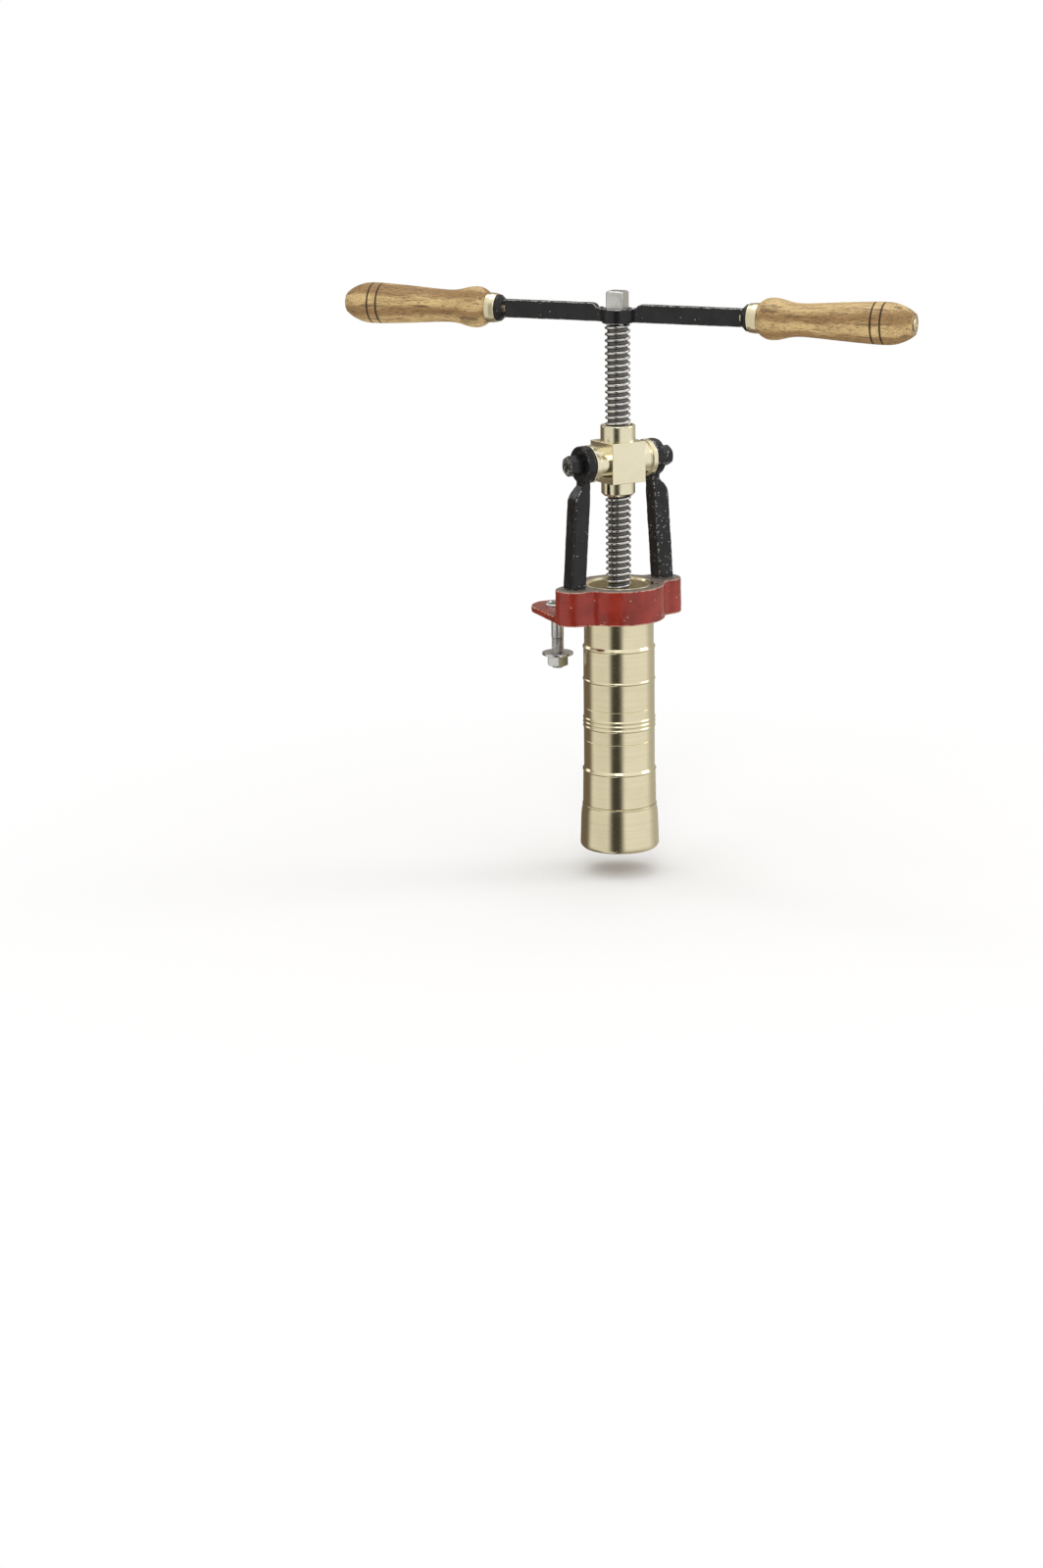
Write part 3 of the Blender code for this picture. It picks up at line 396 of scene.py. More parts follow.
def closeGeometry(tree, mesh, material, end):
    # every tree ends in real mesh with its material
    real = addNode(tree, "GeometryNodeRealizeInstances", {"Geometry": mesh})
    paint = addNode(tree, "GeometryNodeSetMaterial", {
        "Geometry": real.outputs["Geometry"], "Material": material})
    return closeGroup(tree, end, Geometry=paint.outputs["Geometry"])


def grown(name, tree, settings):
    # runs a tree on an empty mesh and keeps the plain result
    piece = newPiece(name, bpy.data.meshes.new(name))
    modifier = piece.modifiers.new("grow", "NODES")
    modifier.node_group = tree
    for socket in tree.interface.items_tree:
        if socket.in_out == "INPUT" and socket.name in settings:
            modifier[socket.identifier] = settings[socket.name]
    piece.update_tag()
    return plainMesh(piece)


def threadTree():
    # a solid rod whose skin rises and falls along a right-hand helix
    tree, given, end, calc = newTree("threadedRod", "GeometryNodeTree", (
        ("Geometry", "Geometry"), ("Low", "Float", 0.0), ("High", "Float", 0.1), ("Radius", "Float", 0.01),
        ("Depth", "Float", 0.001), ("Pitch", "Float", 0.002), ("Crest", "Float", 0.3), ("Root", "Float", 0.6),
        ("Chamfer", "Float", 0.001), ("Columns", "Int", 48), ("Rows", "Int", 100), ("Material", "Material")),
        (("Geometry", "Geometry"),))
    low, high, fullRadius = given["Low"], given["High"], given["Radius"]
    grid = addNode(tree, "GeometryNodeMeshGrid", {
        "Size X": 1, "Size Y": 1, "Vertices X": calc("ADD", given["Columns"], 1),
        "Vertices Y": calc("ADD", given["Rows"], 3)})
    sheet = splitAxes(tree, addNode(tree, "GeometryNodeInputPosition").outputs[0])
    turn = calc("ADD", sheet["X"], 0.5)
    angle = calc("MULTIPLY", turn, math.tau)
    rowShare = calc("DIVIDE", 1.0, given["Rows"])
    stretch = calc("MULTIPLY_ADD", rowShare, 2.0, 1.0)
    along = calc("MULTIPLY_ADD", sheet["Y"], stretch, 0.5)
    # the first and last rows close the rod's ends on its axis
    inside = calc("MULTIPLY", calc("GREATER_THAN", along, calc("MULTIPLY", rowShare, -0.5)),
                  calc("LESS_THAN", along, calc("MULTIPLY_ADD", rowShare, 0.5, 1.0)))
    share = calc("MINIMUM", calc("MAXIMUM", along, 0.0), 1.0)
    height = calc("MULTIPLY_ADD", share, calc("SUBTRACT", high, low), low)
    phase = calc("FRACT", calc("SUBTRACT", calc("DIVIDE", height, given["Pitch"]), turn))
    wave = calc("ABSOLUTE", calc("MULTIPLY_ADD", phase, 2.0, -1.0))
    cut = calc("MULTIPLY", ramp(tree, wave, given["Crest"], given["Root"]), given["Depth"])
    toEnd = calc("MINIMUM", calc("SUBTRACT", height, low), calc("SUBTRACT", high, height))
    tapered = calc("ADD", calc("SUBTRACT", fullRadius, given["Chamfer"]), toEnd)
    radius = calc("MULTIPLY", calc("MINIMUM", calc("SUBTRACT", fullRadius, cut), tapered), inside)
    joined = addNode(tree, "ShaderNodeCombineXYZ", {
        "X": calc("MULTIPLY", radius, calc("COSINE", angle)),
        "Y": calc("MULTIPLY", radius, calc("SINE", angle)), "Z": height})
    move = addNode(tree, "GeometryNodeSetPosition", {
        "Geometry": grid.outputs["Mesh"], "Position": joined.outputs[0]})
    weld = addNode(tree, "GeometryNodeMergeByDistance", {
        "Geometry": move.outputs["Geometry"], "Distance": 0.000002})
    return closeGeometry(tree, weld.outputs["Geometry"], given["Material"], end)


def dieTree():
    # a round plate with rings of holes, cut by cylinders set on a triangular lattice
    tree, given, end, calc = newTree("perforatedDie", "GeometryNodeTree", (
        ("Geometry", "Geometry"), ("Radius", "Float", 0.03), ("Thickness", "Float", 0.015),
        ("Middle", "Float", 0.0), ("Hole Radius", "Float", 0.0016), ("Pitch", "Float", 0.006),
        ("Reach", "Float", 0.0185), ("Per Row", "Int", 9), ("Material", "Material")),
        (("Geometry", "Geometry"),))
    pitch, perRow = given["Pitch"], given["Per Row"]
    plate = addNode(tree, "GeometryNodeMeshCylinder", {
        "Vertices": 96, "Radius": given["Radius"], "Depth": given["Thickness"]})
    rowHeight = calc("MULTIPLY", pitch, math.sqrt(3) / 2)
    steps = calc("SUBTRACT", perRow, 1)
    grid = addNode(tree, "GeometryNodeMeshGrid", {
        "Vertices X": perRow, "Vertices Y": perRow,
        "Size X": calc("MULTIPLY", pitch, steps), "Size Y": calc("MULTIPLY", rowHeight, steps)})
    place = addNode(tree, "GeometryNodeInputPosition").outputs[0]
    row = calc("ROUND", calc("DIVIDE", splitAxes(tree, place)["Y"], rowHeight))
    odd = calc("ABSOLUTE", calc("MODULO", row, 2.0))
    offset = addNode(tree, "ShaderNodeCombineXYZ", {"X": calc("MULTIPLY", calc("MULTIPLY", odd, 0.5), pitch)})
    move = addNode(tree, "GeometryNodeSetPosition", {
        "Geometry": grid.outputs["Mesh"], "Offset": offset.outputs[0]})
    far = calc("GREATER_THAN", lengthOf(tree, place), given["Reach"])
    drop = addNode(tree, "GeometryNodeDeleteGeometry", {
        "Geometry": move.outputs["Geometry"], "Selection": far})
    drill = addNode(tree, "GeometryNodeMeshCylinder", {
        "Vertices": 20, "Radius": given["Hole Radius"], "Depth": calc("MULTIPLY", given["Thickness"], 1.5)})
    spread = addNode(tree, "GeometryNodeInstanceOnPoints", {
        "Points": drop.outputs["Geometry"], "Instance": drill.outputs["Mesh"]})
    cut = addNode(tree, "GeometryNodeMeshBoolean", {
        "Mesh 1": plate.outputs["Mesh"], "Mesh 2": spread.outputs["Instances"]}, operation="DIFFERENCE")
    lower = addNode(tree, "ShaderNodeCombineXYZ", {"Z": given["Middle"]})
    lift = addNode(tree, "GeometryNodeTransform", {
        "Geometry": cut.outputs["Mesh"], "Translation": lower.outputs[0]})
    return closeGeometry(tree, lift.outputs["Geometry"], given["Material"], end)


threadedRod = threadTree()
perforatedDie = dieTree()


# Shader groups: each puts out masks, values or colours, never a shader

def noiseNode(tree, vector, scale, detail=3.0, roughness=0.55, dimensions="3D"):
    return addNode(tree, "ShaderNodeTexNoise", {
        "W" if dimensions == "1D" else "Vector": vector, "Scale": scale, "Detail": detail,
        "Roughness": roughness}, noise_dimensions=dimensions).outputs["Fac"]


def mixColour(tree, share, first, second):
    # sockets 6, 7 and output 2 are the node's colours
    return addNode(
        tree, "ShaderNodeMix", {"Factor": share, 6: first, 7: second}, data_type="RGBA").outputs[2]


def stretched(tree, vector, scale):
    return addNode(tree, "ShaderNodeMapping", {"Vector": vector, "Scale": scale}).outputs["Vector"]


def wearGroup():
    # paint rubbed off along edges, broken up by noise
    group, given, end, calc = newTree("edgeRub", "ShaderNodeTree", (
        ("Vector", "Vector"), ("Edge", "Float", 0.0), ("Amount", "Float", 0.5), ("Scale", "Float", 300.0)),
        (("Mask", "Float"),))
    coarse = noiseNode(group, given["Vector"], given["Scale"], 5.0, 0.65)
    level = calc("ADD", given["Edge"], calc("MULTIPLY_ADD", coarse, 1.6, -0.8))
    limit = calc("SUBTRACT", 1.25, given["Amount"])
    return closeGroup(group, end, Mask=ramp(group, calc("SUBTRACT", level, limit), -0.03, 0.06))


def chipGroup():
    # small chips with crisp rims, gathered in patches
    group, given, end, calc = newTree("paintChips", "ShaderNodeTree", (
        ("Vector", "Vector"), ("Scale", "Float", 400.0), ("Amount", "Float", 0.3),
        ("Patch Scale", "Float", 40.0)), (("Mask", "Float"), ("Height", "Float")))
    vector, scale = given["Vector"], given["Scale"]
    cells = addNode(group, "ShaderNodeTexVoronoi", {"Vector": vector, "Scale": scale})
    wobble = noiseNode(group, vector, calc("MULTIPLY", scale, 2.3))
    pick = addNode(group, "ShaderNodeSeparateColor", {0: cells.outputs["Color"]})
    patch = noiseNode(group, vector, given["Patch Scale"])
    chance = calc("MULTIPLY", calc("MULTIPLY", patch, 1.6), given["Amount"])
    chosen = calc("LESS_THAN", pick.outputs[0], chance)
    size = calc("MULTIPLY_ADD", pick.outputs[1], 0.35, 0.10)
    spread = calc("ADD", cells.outputs["Distance"], calc("MULTIPLY_ADD", wobble, 0.5, -0.25))
    edge = ramp(group, calc("SUBTRACT", size, spread), 0.0, 0.06)
    mask = calc("MULTIPLY", chosen, edge)
    return closeGroup(group, end, Mask=mask, Height=calc("SUBTRACT", 1.0, mask))


def turnedGroup():
    # fine rings round an axis, as a lathe tool leaves
    group, given, end, calc = newTree("latheLines", "ShaderNodeTree", (
        ("Vector", "Vector"), ("Axis", "Vector", upward), ("Scale", "Float", 2500.0)),
        (("Height", "Float"), ("Tone", "Float")))
    along = addNode(group, "ShaderNodeVectorMath", {0: given["Vector"], 1: given["Axis"]},
                    operation="DOT_PRODUCT").outputs["Value"]
    fine = noiseNode(group, along, given["Scale"], 2.0, 0.6, "1D")
    broad = noiseNode(group, along, calc("DIVIDE", given["Scale"], 9.0), 3.0, 0.6, "1D")
    return closeGroup(group, end, Height=fine, Tone=broad)


def smudgeGroup():
    # handled metal: soft cloudy stains and a few short scratches
    group, given, end, calc = newTree("handling", "ShaderNodeTree", (
        ("Vector", "Vector"), ("Scale", "Float", 30.0)), (("Stain", "Float"), ("Scratch", "Float")))
    cloud = noiseNode(group, given["Vector"], given["Scale"], 5.0, 0.6)
    thin = stretched(group, given["Vector"], (1.0, 0.6, 9.0))
    lines = noiseNode(group, thin, calc("MULTIPLY", given["Scale"], 9.0), 2.0, 0.5)
    return closeGroup(
        group, end, Stain=ramp(group, cloud, 0.35, 0.75), Scratch=ramp(group, lines, 0.66, 0.70))


def woodGroup():
    # straight grain with open pores; the vector's Z runs along the grain
    group, given, end, calc = newTree("openGrain", "ShaderNodeTree", (
        ("Vector", "Vector"), ("Light", "Color", (0.6, 0.4, 0.2, 1.0)),
        ("Dark", "Color", (0.3, 0.17, 0.07, 1.0)), ("Pore", "Color", (0.1, 0.05, 0.02, 1.0))),
        (("Color", "Color"), ("Height", "Float"), ("Roughness", "Float")))
    vector, dark, pore = given["Vector"], given["Dark"], given["Pore"]

    def drawnOut(share, *settings):
        # noise pulled long along the grain
        return noiseNode(group, stretched(group, vector, (1.0, 1.0, share)), *settings)

    across = calc("ADD", calc("MULTIPLY", splitAxes(group, vector)["X"], 330.0),
                  calc("MULTIPLY", drawnOut(0.12, 55.0, 3.0), 7.0))
    rings = calc("MULTIPLY_ADD", calc("SINE", across), 0.5, 0.5)
    fibre = drawnOut(0.035, 700.0, 4.0, 0.65)
    tone = calc("ADD", calc("MULTIPLY", rings, 0.45), calc("MULTIPLY", fibre, 0.75))
    colour = mixColour(group, ramp(group, tone, 0.38, 0.80), given["Light"], dark)
    streak = drawnOut(0.05, 330.0, 3.0, 0.55)
    colour = mixColour(group, ramp(group, streak, 0.54, 0.68, 0.0, 0.75), colour, pore)
    gate = noiseNode(group, vector, 90.0, 2.0)
    pores = ramp(group, calc("MULTIPLY_ADD", gate, 0.24, drawnOut(0.08, 1900.0, 1.5, 0.5)), 0.67, 0.75)
    blotch = noiseNode(group, vector, 22.0)
    colour = mixColour(group, ramp(group, blotch, 0.35, 0.8, 0.0, 0.35), colour, dark)
    colour = mixColour(group, calc("MULTIPLY", pores, 0.75), colour, pore)
    return closeGroup(group, end, Color=colour, Roughness=ramp(group, tone, 0.2, 1.0, 0.42, 0.62),
                      Height=calc("SUBTRACT", calc("MULTIPLY", fibre, 0.3), pores))


edgeRub = wearGroup()
paintChips = chipGroup()
latheLines = turnedGroup()
handling = smudgeGroup()
openGrain = woodGroup()


# Materials

def newMaterial(name, metallic, roughness, specular=0.5):
    material = bpy.data.materials.new(name)
    material.use_nodes = True
    tree = material.node_tree
    shader = tree.nodes["Principled BSDF"]
    shader.inputs["Metallic"].default_value = metallic
    shader.inputs["Roughness"].default_value = roughness
    shader.inputs["Specular IOR Level"].default_value = specular
    coordinate = tree.nodes.new("ShaderNodeTexCoord").outputs["Object"]
    return material, tree, shader, coordinate, calculator(tree)


def grouped(tree, group, **values):
    inputs = {label.replace("_", " "): value for label, value in values.items()}
    return addNode(tree, "ShaderNodeGroup", inputs, node_tree=group).outputs


def dress(tree, shader, colour, roughness, *layers):
    # layers of bump as (height, distance in metres, strength), laid one on another
    connect(tree, colour, shader.inputs["Base Color"])
    connect(tree, roughness, shader.inputs["Roughness"])
    normal = None
    for height, distance, strength in layers:
        node = addNode(tree, "ShaderNodeBump", {"Distance": distance, "Strength": strength, "Height": height})
        if normal:
            tree.links.new(normal, node.inputs["Normal"])
        normal = node.outputs["Normal"]
    tree.links.new(normal, shader.inputs["Normal"])


def edgeValue(tree):
    return addNode(tree, "ShaderNodeAttribute", attribute_name="edgeWear").outputs["Fac"]


def fromAxis(tree, coordinate):
    # distance from the screw's axis
    return lengthOf(tree, stretched(tree, coordinate, (1.0, 1.0, 0.0)))


brassLook = {
    "light": (0.83, 0.75, 0.52, 1.0), "dark": (0.79, 0.71, 0.485, 1.0), "stain": (0.55, 0.48, 0.31, 1.0),
    "roughness": (0.13, 0.22), "lines": 2600.0, "film": (0.66, 0.55, 0.35, 1.0),
}
bronzeLook = {
    "light": (0.62, 0.47, 0.26, 1.0), "dark": (0.45, 0.32, 0.17, 1.0), "stain": (0.25, 0.17, 0.09, 1.0),
    "roughness": (0.24, 0.45), "lines": 1800.0,
}


def makeBrass(name, look, axis, bore=None):
    material, tree, shader, coordinate, calc = newMaterial(name, 1.0, 0.2)
    lines = grouped(tree, latheLines, Vector=coordinate, Axis=axis, Scale=look["lines"])
    touch = grouped(tree, handling, Vector=coordinate, Scale=26.0)
    colour = mixColour(tree, ramp(tree, lines["Tone"], 0.3, 0.8), look["light"], look["dark"])
    colour = mixColour(tree, calc("MULTIPLY", touch["Stain"], 0.20), colour, look["stain"])
    if bore:
        # a dull film on the wall inside the bore
        film = ramp(tree, fromAxis(tree, coordinate), bore, bore + 0.0004, 1.0, 0.0)
        colour = mixColour(tree, film, colour, look["film"])
        connect(tree, ramp(tree, film, 0.0, 1.0, 1.0, 0.25), shader.inputs["Metallic"])
    sheen = calc("ADD", calc("MULTIPLY", touch["Stain"], 0.6), calc("MULTIPLY", lines["Tone"], 0.4))
    sheen = ramp(tree, sheen, 0.1, 0.9, *look["roughness"])
    dress(tree, shader, colour, calc("MULTIPLY_ADD", touch["Scratch"], 0.12, sheen),
          (lines["Height"], 0.000004, 0.04), (touch["Scratch"], 0.00002, 0.12))
    return material


zincLook = {
    "light": (0.70, 0.70, 0.69, 1.0), "dark": (0.50, 0.50, 0.49, 1.0), "stains": 70.0, "lines": 3000.0,
    "lineDepth": 0.00002, "lineStrength": 0.25, "roughness": (0.22, 0.42),
}
steelLook = {
    "light": (0.74, 0.73, 0.71, 1.0), "dark": (0.54, 0.53, 0.52, 1.0), "stains": 60.0, "lines": 3800.0,
    "lineDepth": 0.00003, "lineStrength": 0.3, "roughness": (0.16, 0.42),
    # the thread's roots darken with depth: greasy dirt, and painted shade in the roots
    "greasyRootShade": (0.06, 0.057, 0.053, 1.0), "rootRadius": 0.0101, "crestRadius": 0.0118,
}


def makeSteel(name, look, axis):
    material, tree, shader, coordinate, calc = newMaterial(name, 1.0, 0.3)
    touch = grouped(tree, handling, Vector=coordinate, Scale=look["stains"])
    lines = grouped(tree, latheLines, Vector=coordinate, Axis=axis, Scale=look["lines"])
    colour, dull = mixColour(tree, touch["Stain"], look["light"], look["dark"]), touch["Stain"]
    if "greasyRootShade" in look:
        # darker the deeper into the thread's roots: greasy dirt, and painted shade, under bright crests
        depth = calc("MULTIPLY_ADD", noiseNode(tree, coordinate, 260.0), 0.0006, fromAxis(tree, coordinate))
        greasyRootShade = ramp(tree, depth, look["rootRadius"], look["crestRadius"], 0.85, 0.0)
        colour = mixColour(tree, greasyRootShade, colour, look["greasyRootShade"])
        dull = calc("ADD", greasyRootShade, calc("MULTIPLY", dull, 0.3))
    dress(tree, shader, colour, ramp(tree, dull, 0.0, 1.0, *look["roughness"]),
          (lines["Height"], look["lineDepth"], look["lineStrength"]), (touch["Scratch"], 0.00004, 0.3))
    return material


redLook = {
    "light": (0.31, 0.027, 0.013, 1.0), "dark": (0.19, 0.013, 0.007, 1.0), "rub": (0.50, 0.27, 0.19, 1.0),
    "iron": (0.20, 0.165, 0.14, 1.0), "ironLight": (0.34, 0.30, 0.26, 1.0), "chip": (0.72, 0.68, 0.62, 1.0),
}


def makeRedPaint(name, look):
    # rubbed and chipped paint, and bare iron on the casting's top face
    material, tree, shader, coordinate, calc = newMaterial(name, 0.0, 0.4)
    cloud = noiseNode(tree, coordinate, 45.0, 5.0, 0.6)
    rub = grouped(tree, edgeRub, Vector=coordinate, Edge=edgeValue(tree), Amount=0.60, Scale=240.0)["Mask"]
    chips = grouped(tree, paintChips, Vector=coordinate, Scale=640.0, Amount=0.018, Patch_Scale=60.0)
    paint = mixColour(tree, ramp(tree, cloud, 0.3, 0.72), look["dark"], look["light"])
    paint = mixColour(tree, rub, paint, look["rub"])
    paint = mixColour(tree, chips["Mask"], paint, look["chip"])
    facing = splitAxes(tree, tree.nodes.new("ShaderNodeNewGeometry").outputs["Normal"])["Z"]
    height = splitAxes(tree, coordinate)["Z"]
    topSide = calc("MULTIPLY", ramp(tree, facing, 0.55, 0.8),
                   ramp(tree, height, castingTop - 0.004, castingTop - 0.002))
    ragged = noiseNode(tree, coordinate, 110.0, 5.0, 0.65)
    bare = calc("MULTIPLY", topSide, ramp(tree, ragged, 0.30, 0.42))
    ironTone = noiseNode(tree, coordinate, 240.0, 4.0, 0.7)
    iron = mixColour(tree, ramp(tree, ironTone, 0.3, 0.75), look["iron"], look["ironLight"])
    connect(tree, calc("MULTIPLY", bare, 0.55), shader.inputs["Metallic"])
    grit = noiseNode(tree, coordinate, 650.0, 4.0, 0.6)
    dress(tree, shader, mixColour(tree, bare, paint, iron),
          ramp(tree, calc("ADD", bare, calc("MULTIPLY", rub, 0.5)), 0.0, 1.0, 0.22, 0.55),
          (grit, 0.00018, 0.35), (cloud, 0.0006, 0.25), (chips["Height"], 0.00012, 0.7))
    return material


blackLook = {
    "paint": (0.007, 0.007, 0.008, 1.0), "faded": (0.014, 0.014, 0.015, 1.0),
    "metal": (0.42, 0.41, 0.40, 1.0), "primer": (0.22, 0.21, 0.20, 1.0),
}


def makeBlackPaint(name, look, chipAmount, rubAmount):
    material, tree, shader, coordinate, calc = newMaterial(name, 0.0, 0.35, 0.35)
    cloud = noiseNode(tree, coordinate, 70.0, 4.0, 0.6)
    paint = mixColour(tree, ramp(tree, cloud, 0.35, 0.75), look["paint"], look["faded"])
    rub = grouped(tree, edgeRub, Vector=coordinate, Edge=edgeValue(tree), Amount=rubAmount, Scale=260.0)
    chips = grouped(tree, paintChips, Vector=coordinate, Scale=520.0, Amount=chipAmount, Patch_Scale=75.0)
    bare = calc("MAXIMUM", rub["Mask"], chips["Mask"])
    tone = noiseNode(tree, coordinate, 500.0)
    metal = mixColour(tree, ramp(tree, tone, 0.35, 0.65), look["primer"], look["metal"])
    connect(tree, calc("MULTIPLY", bare, 0.8), shader.inputs["Metallic"])
    orange = noiseNode(tree, coordinate, 420.0)
    dress(tree, shader, mixColour(tree, bare, paint, metal),
          ramp(tree, calc("ADD", bare, calc("MULTIPLY", cloud, 0.4)), 0.1, 1.2, 0.20, 0.46),
          (orange, 0.00012, 0.3), (cloud, 0.0005, 0.2), (chips["Height"], 0.00012, 0.8))
    return material


woodLook = {
    "light": (0.72, 0.51, 0.225, 1.0), "dark": (0.33, 0.19, 0.066, 1.0), "pore": (0.10, 0.052, 0.020, 1.0),
    "burnt": (0.045, 0.02, 0.01, 1.0),
}


def makeWood(name, look, side, grooves):
    # grain along the handle, burnt dark in the turned grooves
    material, tree, shader, coordinate, calc = newMaterial(name, 0.0, 0.5)
    into = alongHandle(side).inverted()
    local = addNode(tree, "ShaderNodeMapping", {
        "Vector": coordinate, "Rotation": tuple(into.to_euler("XYZ")), "Location": tuple(into.translation)},
        vector_type="POINT").outputs["Vector"]
    grain = grouped(tree, openGrain, Vector=local, Light=look["light"], Dark=look["dark"], Pore=look["pore"])
    along = splitAxes(tree, local)["Z"]
    fuzz = noiseNode(tree, coordinate, 300.0)
    smoke = 0.0
    for place in grooves:
        gap = calc("ABSOLUTE", calc("SUBTRACT", along, place))
        ring = ramp(tree, calc("MULTIPLY_ADD", fuzz, 0.0004, gap), 0.0007, 0.0014, 1.0, 0.0)
        smoke = calc("MAXIMUM", ring, smoke)
    dress(tree, shader, mixColour(tree, smoke, grain["Color"], look["burnt"]), grain["Roughness"],
          (grain["Height"], 0.00015, 0.5))
    return material


sealLook = {"light": (0.52, 0.47, 0.38, 1.0), "dark": (0.36, 0.32, 0.26, 1.0)}


def makeSeal(name, look):
    material, tree, shader, coordinate, _ = newMaterial(name, 0.0, 0.6)
    tone = noiseNode(tree, coordinate, 200.0, 4.0)
    dress(tree, shader, mixColour(tree, tone, look["light"], look["dark"]), 0.6, (tone, 0.0001, 0.4))
    return material


handleAxis = (math.cos(handleTurn), math.sin(handleTurn), 0.0)
boreFilm = 0.0287  # radius within which the barrel's brass is dull
nutLook = dict(brassLook, light=(0.90, 0.83, 0.62, 1.0), dark=(0.87, 0.80, 0.58, 1.0), lines=9000.0)
# near-black zinc for the disc of painted shade in the bench bolts' hollows
paintedShadeLook = dict(zincLook, light=(0.16, 0.16, 0.17, 1.0), dark=(0.08, 0.08, 0.085, 1.0))
squareLook = dict(zincLook, light=(0.68, 0.67, 0.65, 1.0))
washerLook = dict(zincLook, light=(0.72, 0.60, 0.38, 1.0), dark=(0.55, 0.44, 0.27, 1.0))
barrelBrass = makeBrass("barrelBrass", brassLook, upward, boreFilm)
nutBrass = makeBrass("nutBrass", nutLook, upward)
ferruleBrass = makeBrass("ferruleBrass", dict(brassLook, roughness=(0.16, 0.32)), handleAxis)
dieBronze = makeBrass("dieBronze", bronzeLook, upward)
screwSteel = makeSteel("screwSteel", steelLook, upward)
fixingZinc = makeSteel("fixingZinc", zincLook, upward)
paintedShadeZinc = makeSteel("paintedShadeZinc", paintedShadeLook, upward)
squareSteel = makeSteel("squareSteel", squareLook, upward)
washerZinc = makeSteel("washerZinc", washerLook, handleAxis)
castingRed = makeRedPaint("castingRed", redLook)
armBlack = makeBlackPaint("armBlack", blackLook, 0.06, 0.34)
armChipped = makeBlackPaint("armChipped", blackLook, 0.26, 0.50)
# the bar's edges rubbed further: real wear, and also a painted highlight along the bar's top edge
barBlackRubAndHighlight = makeBlackPaint("barBlackRubAndHighlight", blackLook, 0.03, 0.52)
boltBlack = makeBlackPaint("boltBlack", blackLook, 0.05, 0.40)
sealFibre = makeSeal("sealFibre", sealLook)
tell("materials made")


# Barrel

barrelShape = {
    "bore": 0.0285, "mouthChamfer": 0.0020, "neck": 0.0332, "body": 0.0340, "foot": 0.0347, "thread": 0.0326,
    "beads": (-0.0275, -0.0588, -0.0965, -0.10055, -0.1046, -0.1475), "beadHeight": 0.0007,
    "beadWidth": 0.0031, "beadFlat": 0.28, "slopeAbove": 1.6, "slopeBelow": 1.38,
    "neckEnd": -0.0275, "footStart": -0.1475, "grooves": (-0.0860, -0.1178), "grooveDepth": 0.00035,
    "grooveWidth": 0.0007, "shoulder": -0.1810, "footEnd": 0.0352, "footSwell": 0.6, "steps": 128,
}


def makeBarrel(shape):
    neck, body, foot = shape["neck"], shape["body"], shape["foot"]
    thread, bore, shoulder, footEnd = shape["thread"], shape["bore"], shape["shoulder"], shape["footEnd"]
    corners = [(bore + shape["mouthChamfer"], barrelTop, 0.0003), (neck, barrelTop, 0.0004)]
    features = [(height, True) for height in shape["beads"]]
    features += [(height, False) for height in shape["grooves"]]
    radius = neck
    for height, isBead in sorted(features, reverse=True):
        if isBead:
            flat = shape["beadWidth"] / 2 * shape["beadFlat"]
            below = body if height <= shape["neckEnd"] else neck
            below = foot if height <= shape["footStart"] else below
            top = max(radius, below) + shape["beadHeight"]
            corners += [
                (radius, height + flat + (top - radius) * shape["slopeAbove"], 0.0002),
                (top, height + flat, 0.0004), (top, height - flat, 0.0004),
                (below, height - flat - (top - below) * shape["slopeBelow"], 0.0002)]
            radius = below
        else:
            half = shape["grooveWidth"] / 2
            corners += [(radius, height + half, 0), (radius - shape["grooveDepth"], height, 0),
                        (radius, height - half, 0)]
    corners += [
        (foot + (footEnd - foot) * shape["footSwell"], (shape["footStart"] + shoulder) / 2, 0),
        (footEnd, shoulder, 0.0004), (thread, shoulder, 0), (thread, barrelBottom, 0.0005),
        (bore, barrelBottom, 0.0003), (bore, barrelTop - shape["mouthChamfer"], 0.0004)]
    piece = turned("barrelTube", corners, 3, shape["steps"])
    settle(piece, "frame", barrelBrass, "barrel")


makeBarrel(barrelShape)


# Ring nut and die

ringNutShape = {
    "opening": 0.0245, "lip": 0.0045, "pocket": 0.03005, "inner": 0.0329, "underside": 0.0358, "steps": 128,
    # the outside from the top down, as (drop from the top, radius, rounding)
    "outside": (
        (0.0000, 0.0350, 0.0003), (0.0004, 0.0358, 0.0003), (0.0013, 0.0359, 0.0003),
        (0.0020, 0.0355, 0.0002), (0.0042, 0.0360, 0.0020), (0.0070, 0.0366, 0.0040),
        (0.0120, 0.0370, 0.0060), (0.0200, 0.0373, 0.0080), (0.0300, 0.0376, 0.0080),
        (0.0392, 0.0379, 0.0009), (0.0397, 0.0377, 0.0003), (0.0404, 0.0379, 0.0004),
        (0.0420, 0.0370, 0.0006)),
}


def makeRingNut(shape):
    lipTop = ringNutBottom + shape["lip"]
    corners = [(radius, ringNutTop - drop, rounding) for drop, radius, rounding in shape["outside"]]
    corners += [
        (shape["underside"], ringNutBottom, 0.0005), (shape["opening"], ringNutBottom, 0.0005),
        (shape["opening"], lipTop, 0), (shape["pocket"], lipTop, 0), (shape["pocket"], dieTop, 0),
        (shape["inner"], dieTop, 0), (shape["inner"], ringNutTop, 0.0003)]
    piece = turned("ringNutBell", corners, 3, shape["steps"])
    settle(piece, "ring_nut", barrelBrass, "ring_nut")


makeRingNut(ringNutShape)

dieSettings = {
    "Radius": 0.02975, "Hole Radius": 0.0016, "Pitch": 0.006, "Reach": 0.0185, "Per Row": 9,
    "Thickness": dieTop - dieBottom, "Middle": (dieTop + dieBottom) / 2, "Material": dieBronze,
}
settle(grown("dieDisc", perforatedDie, dieSettings), "die", dieBronze, "die", 40)
tell("barrel, ring nut and die made")


# Lead screw

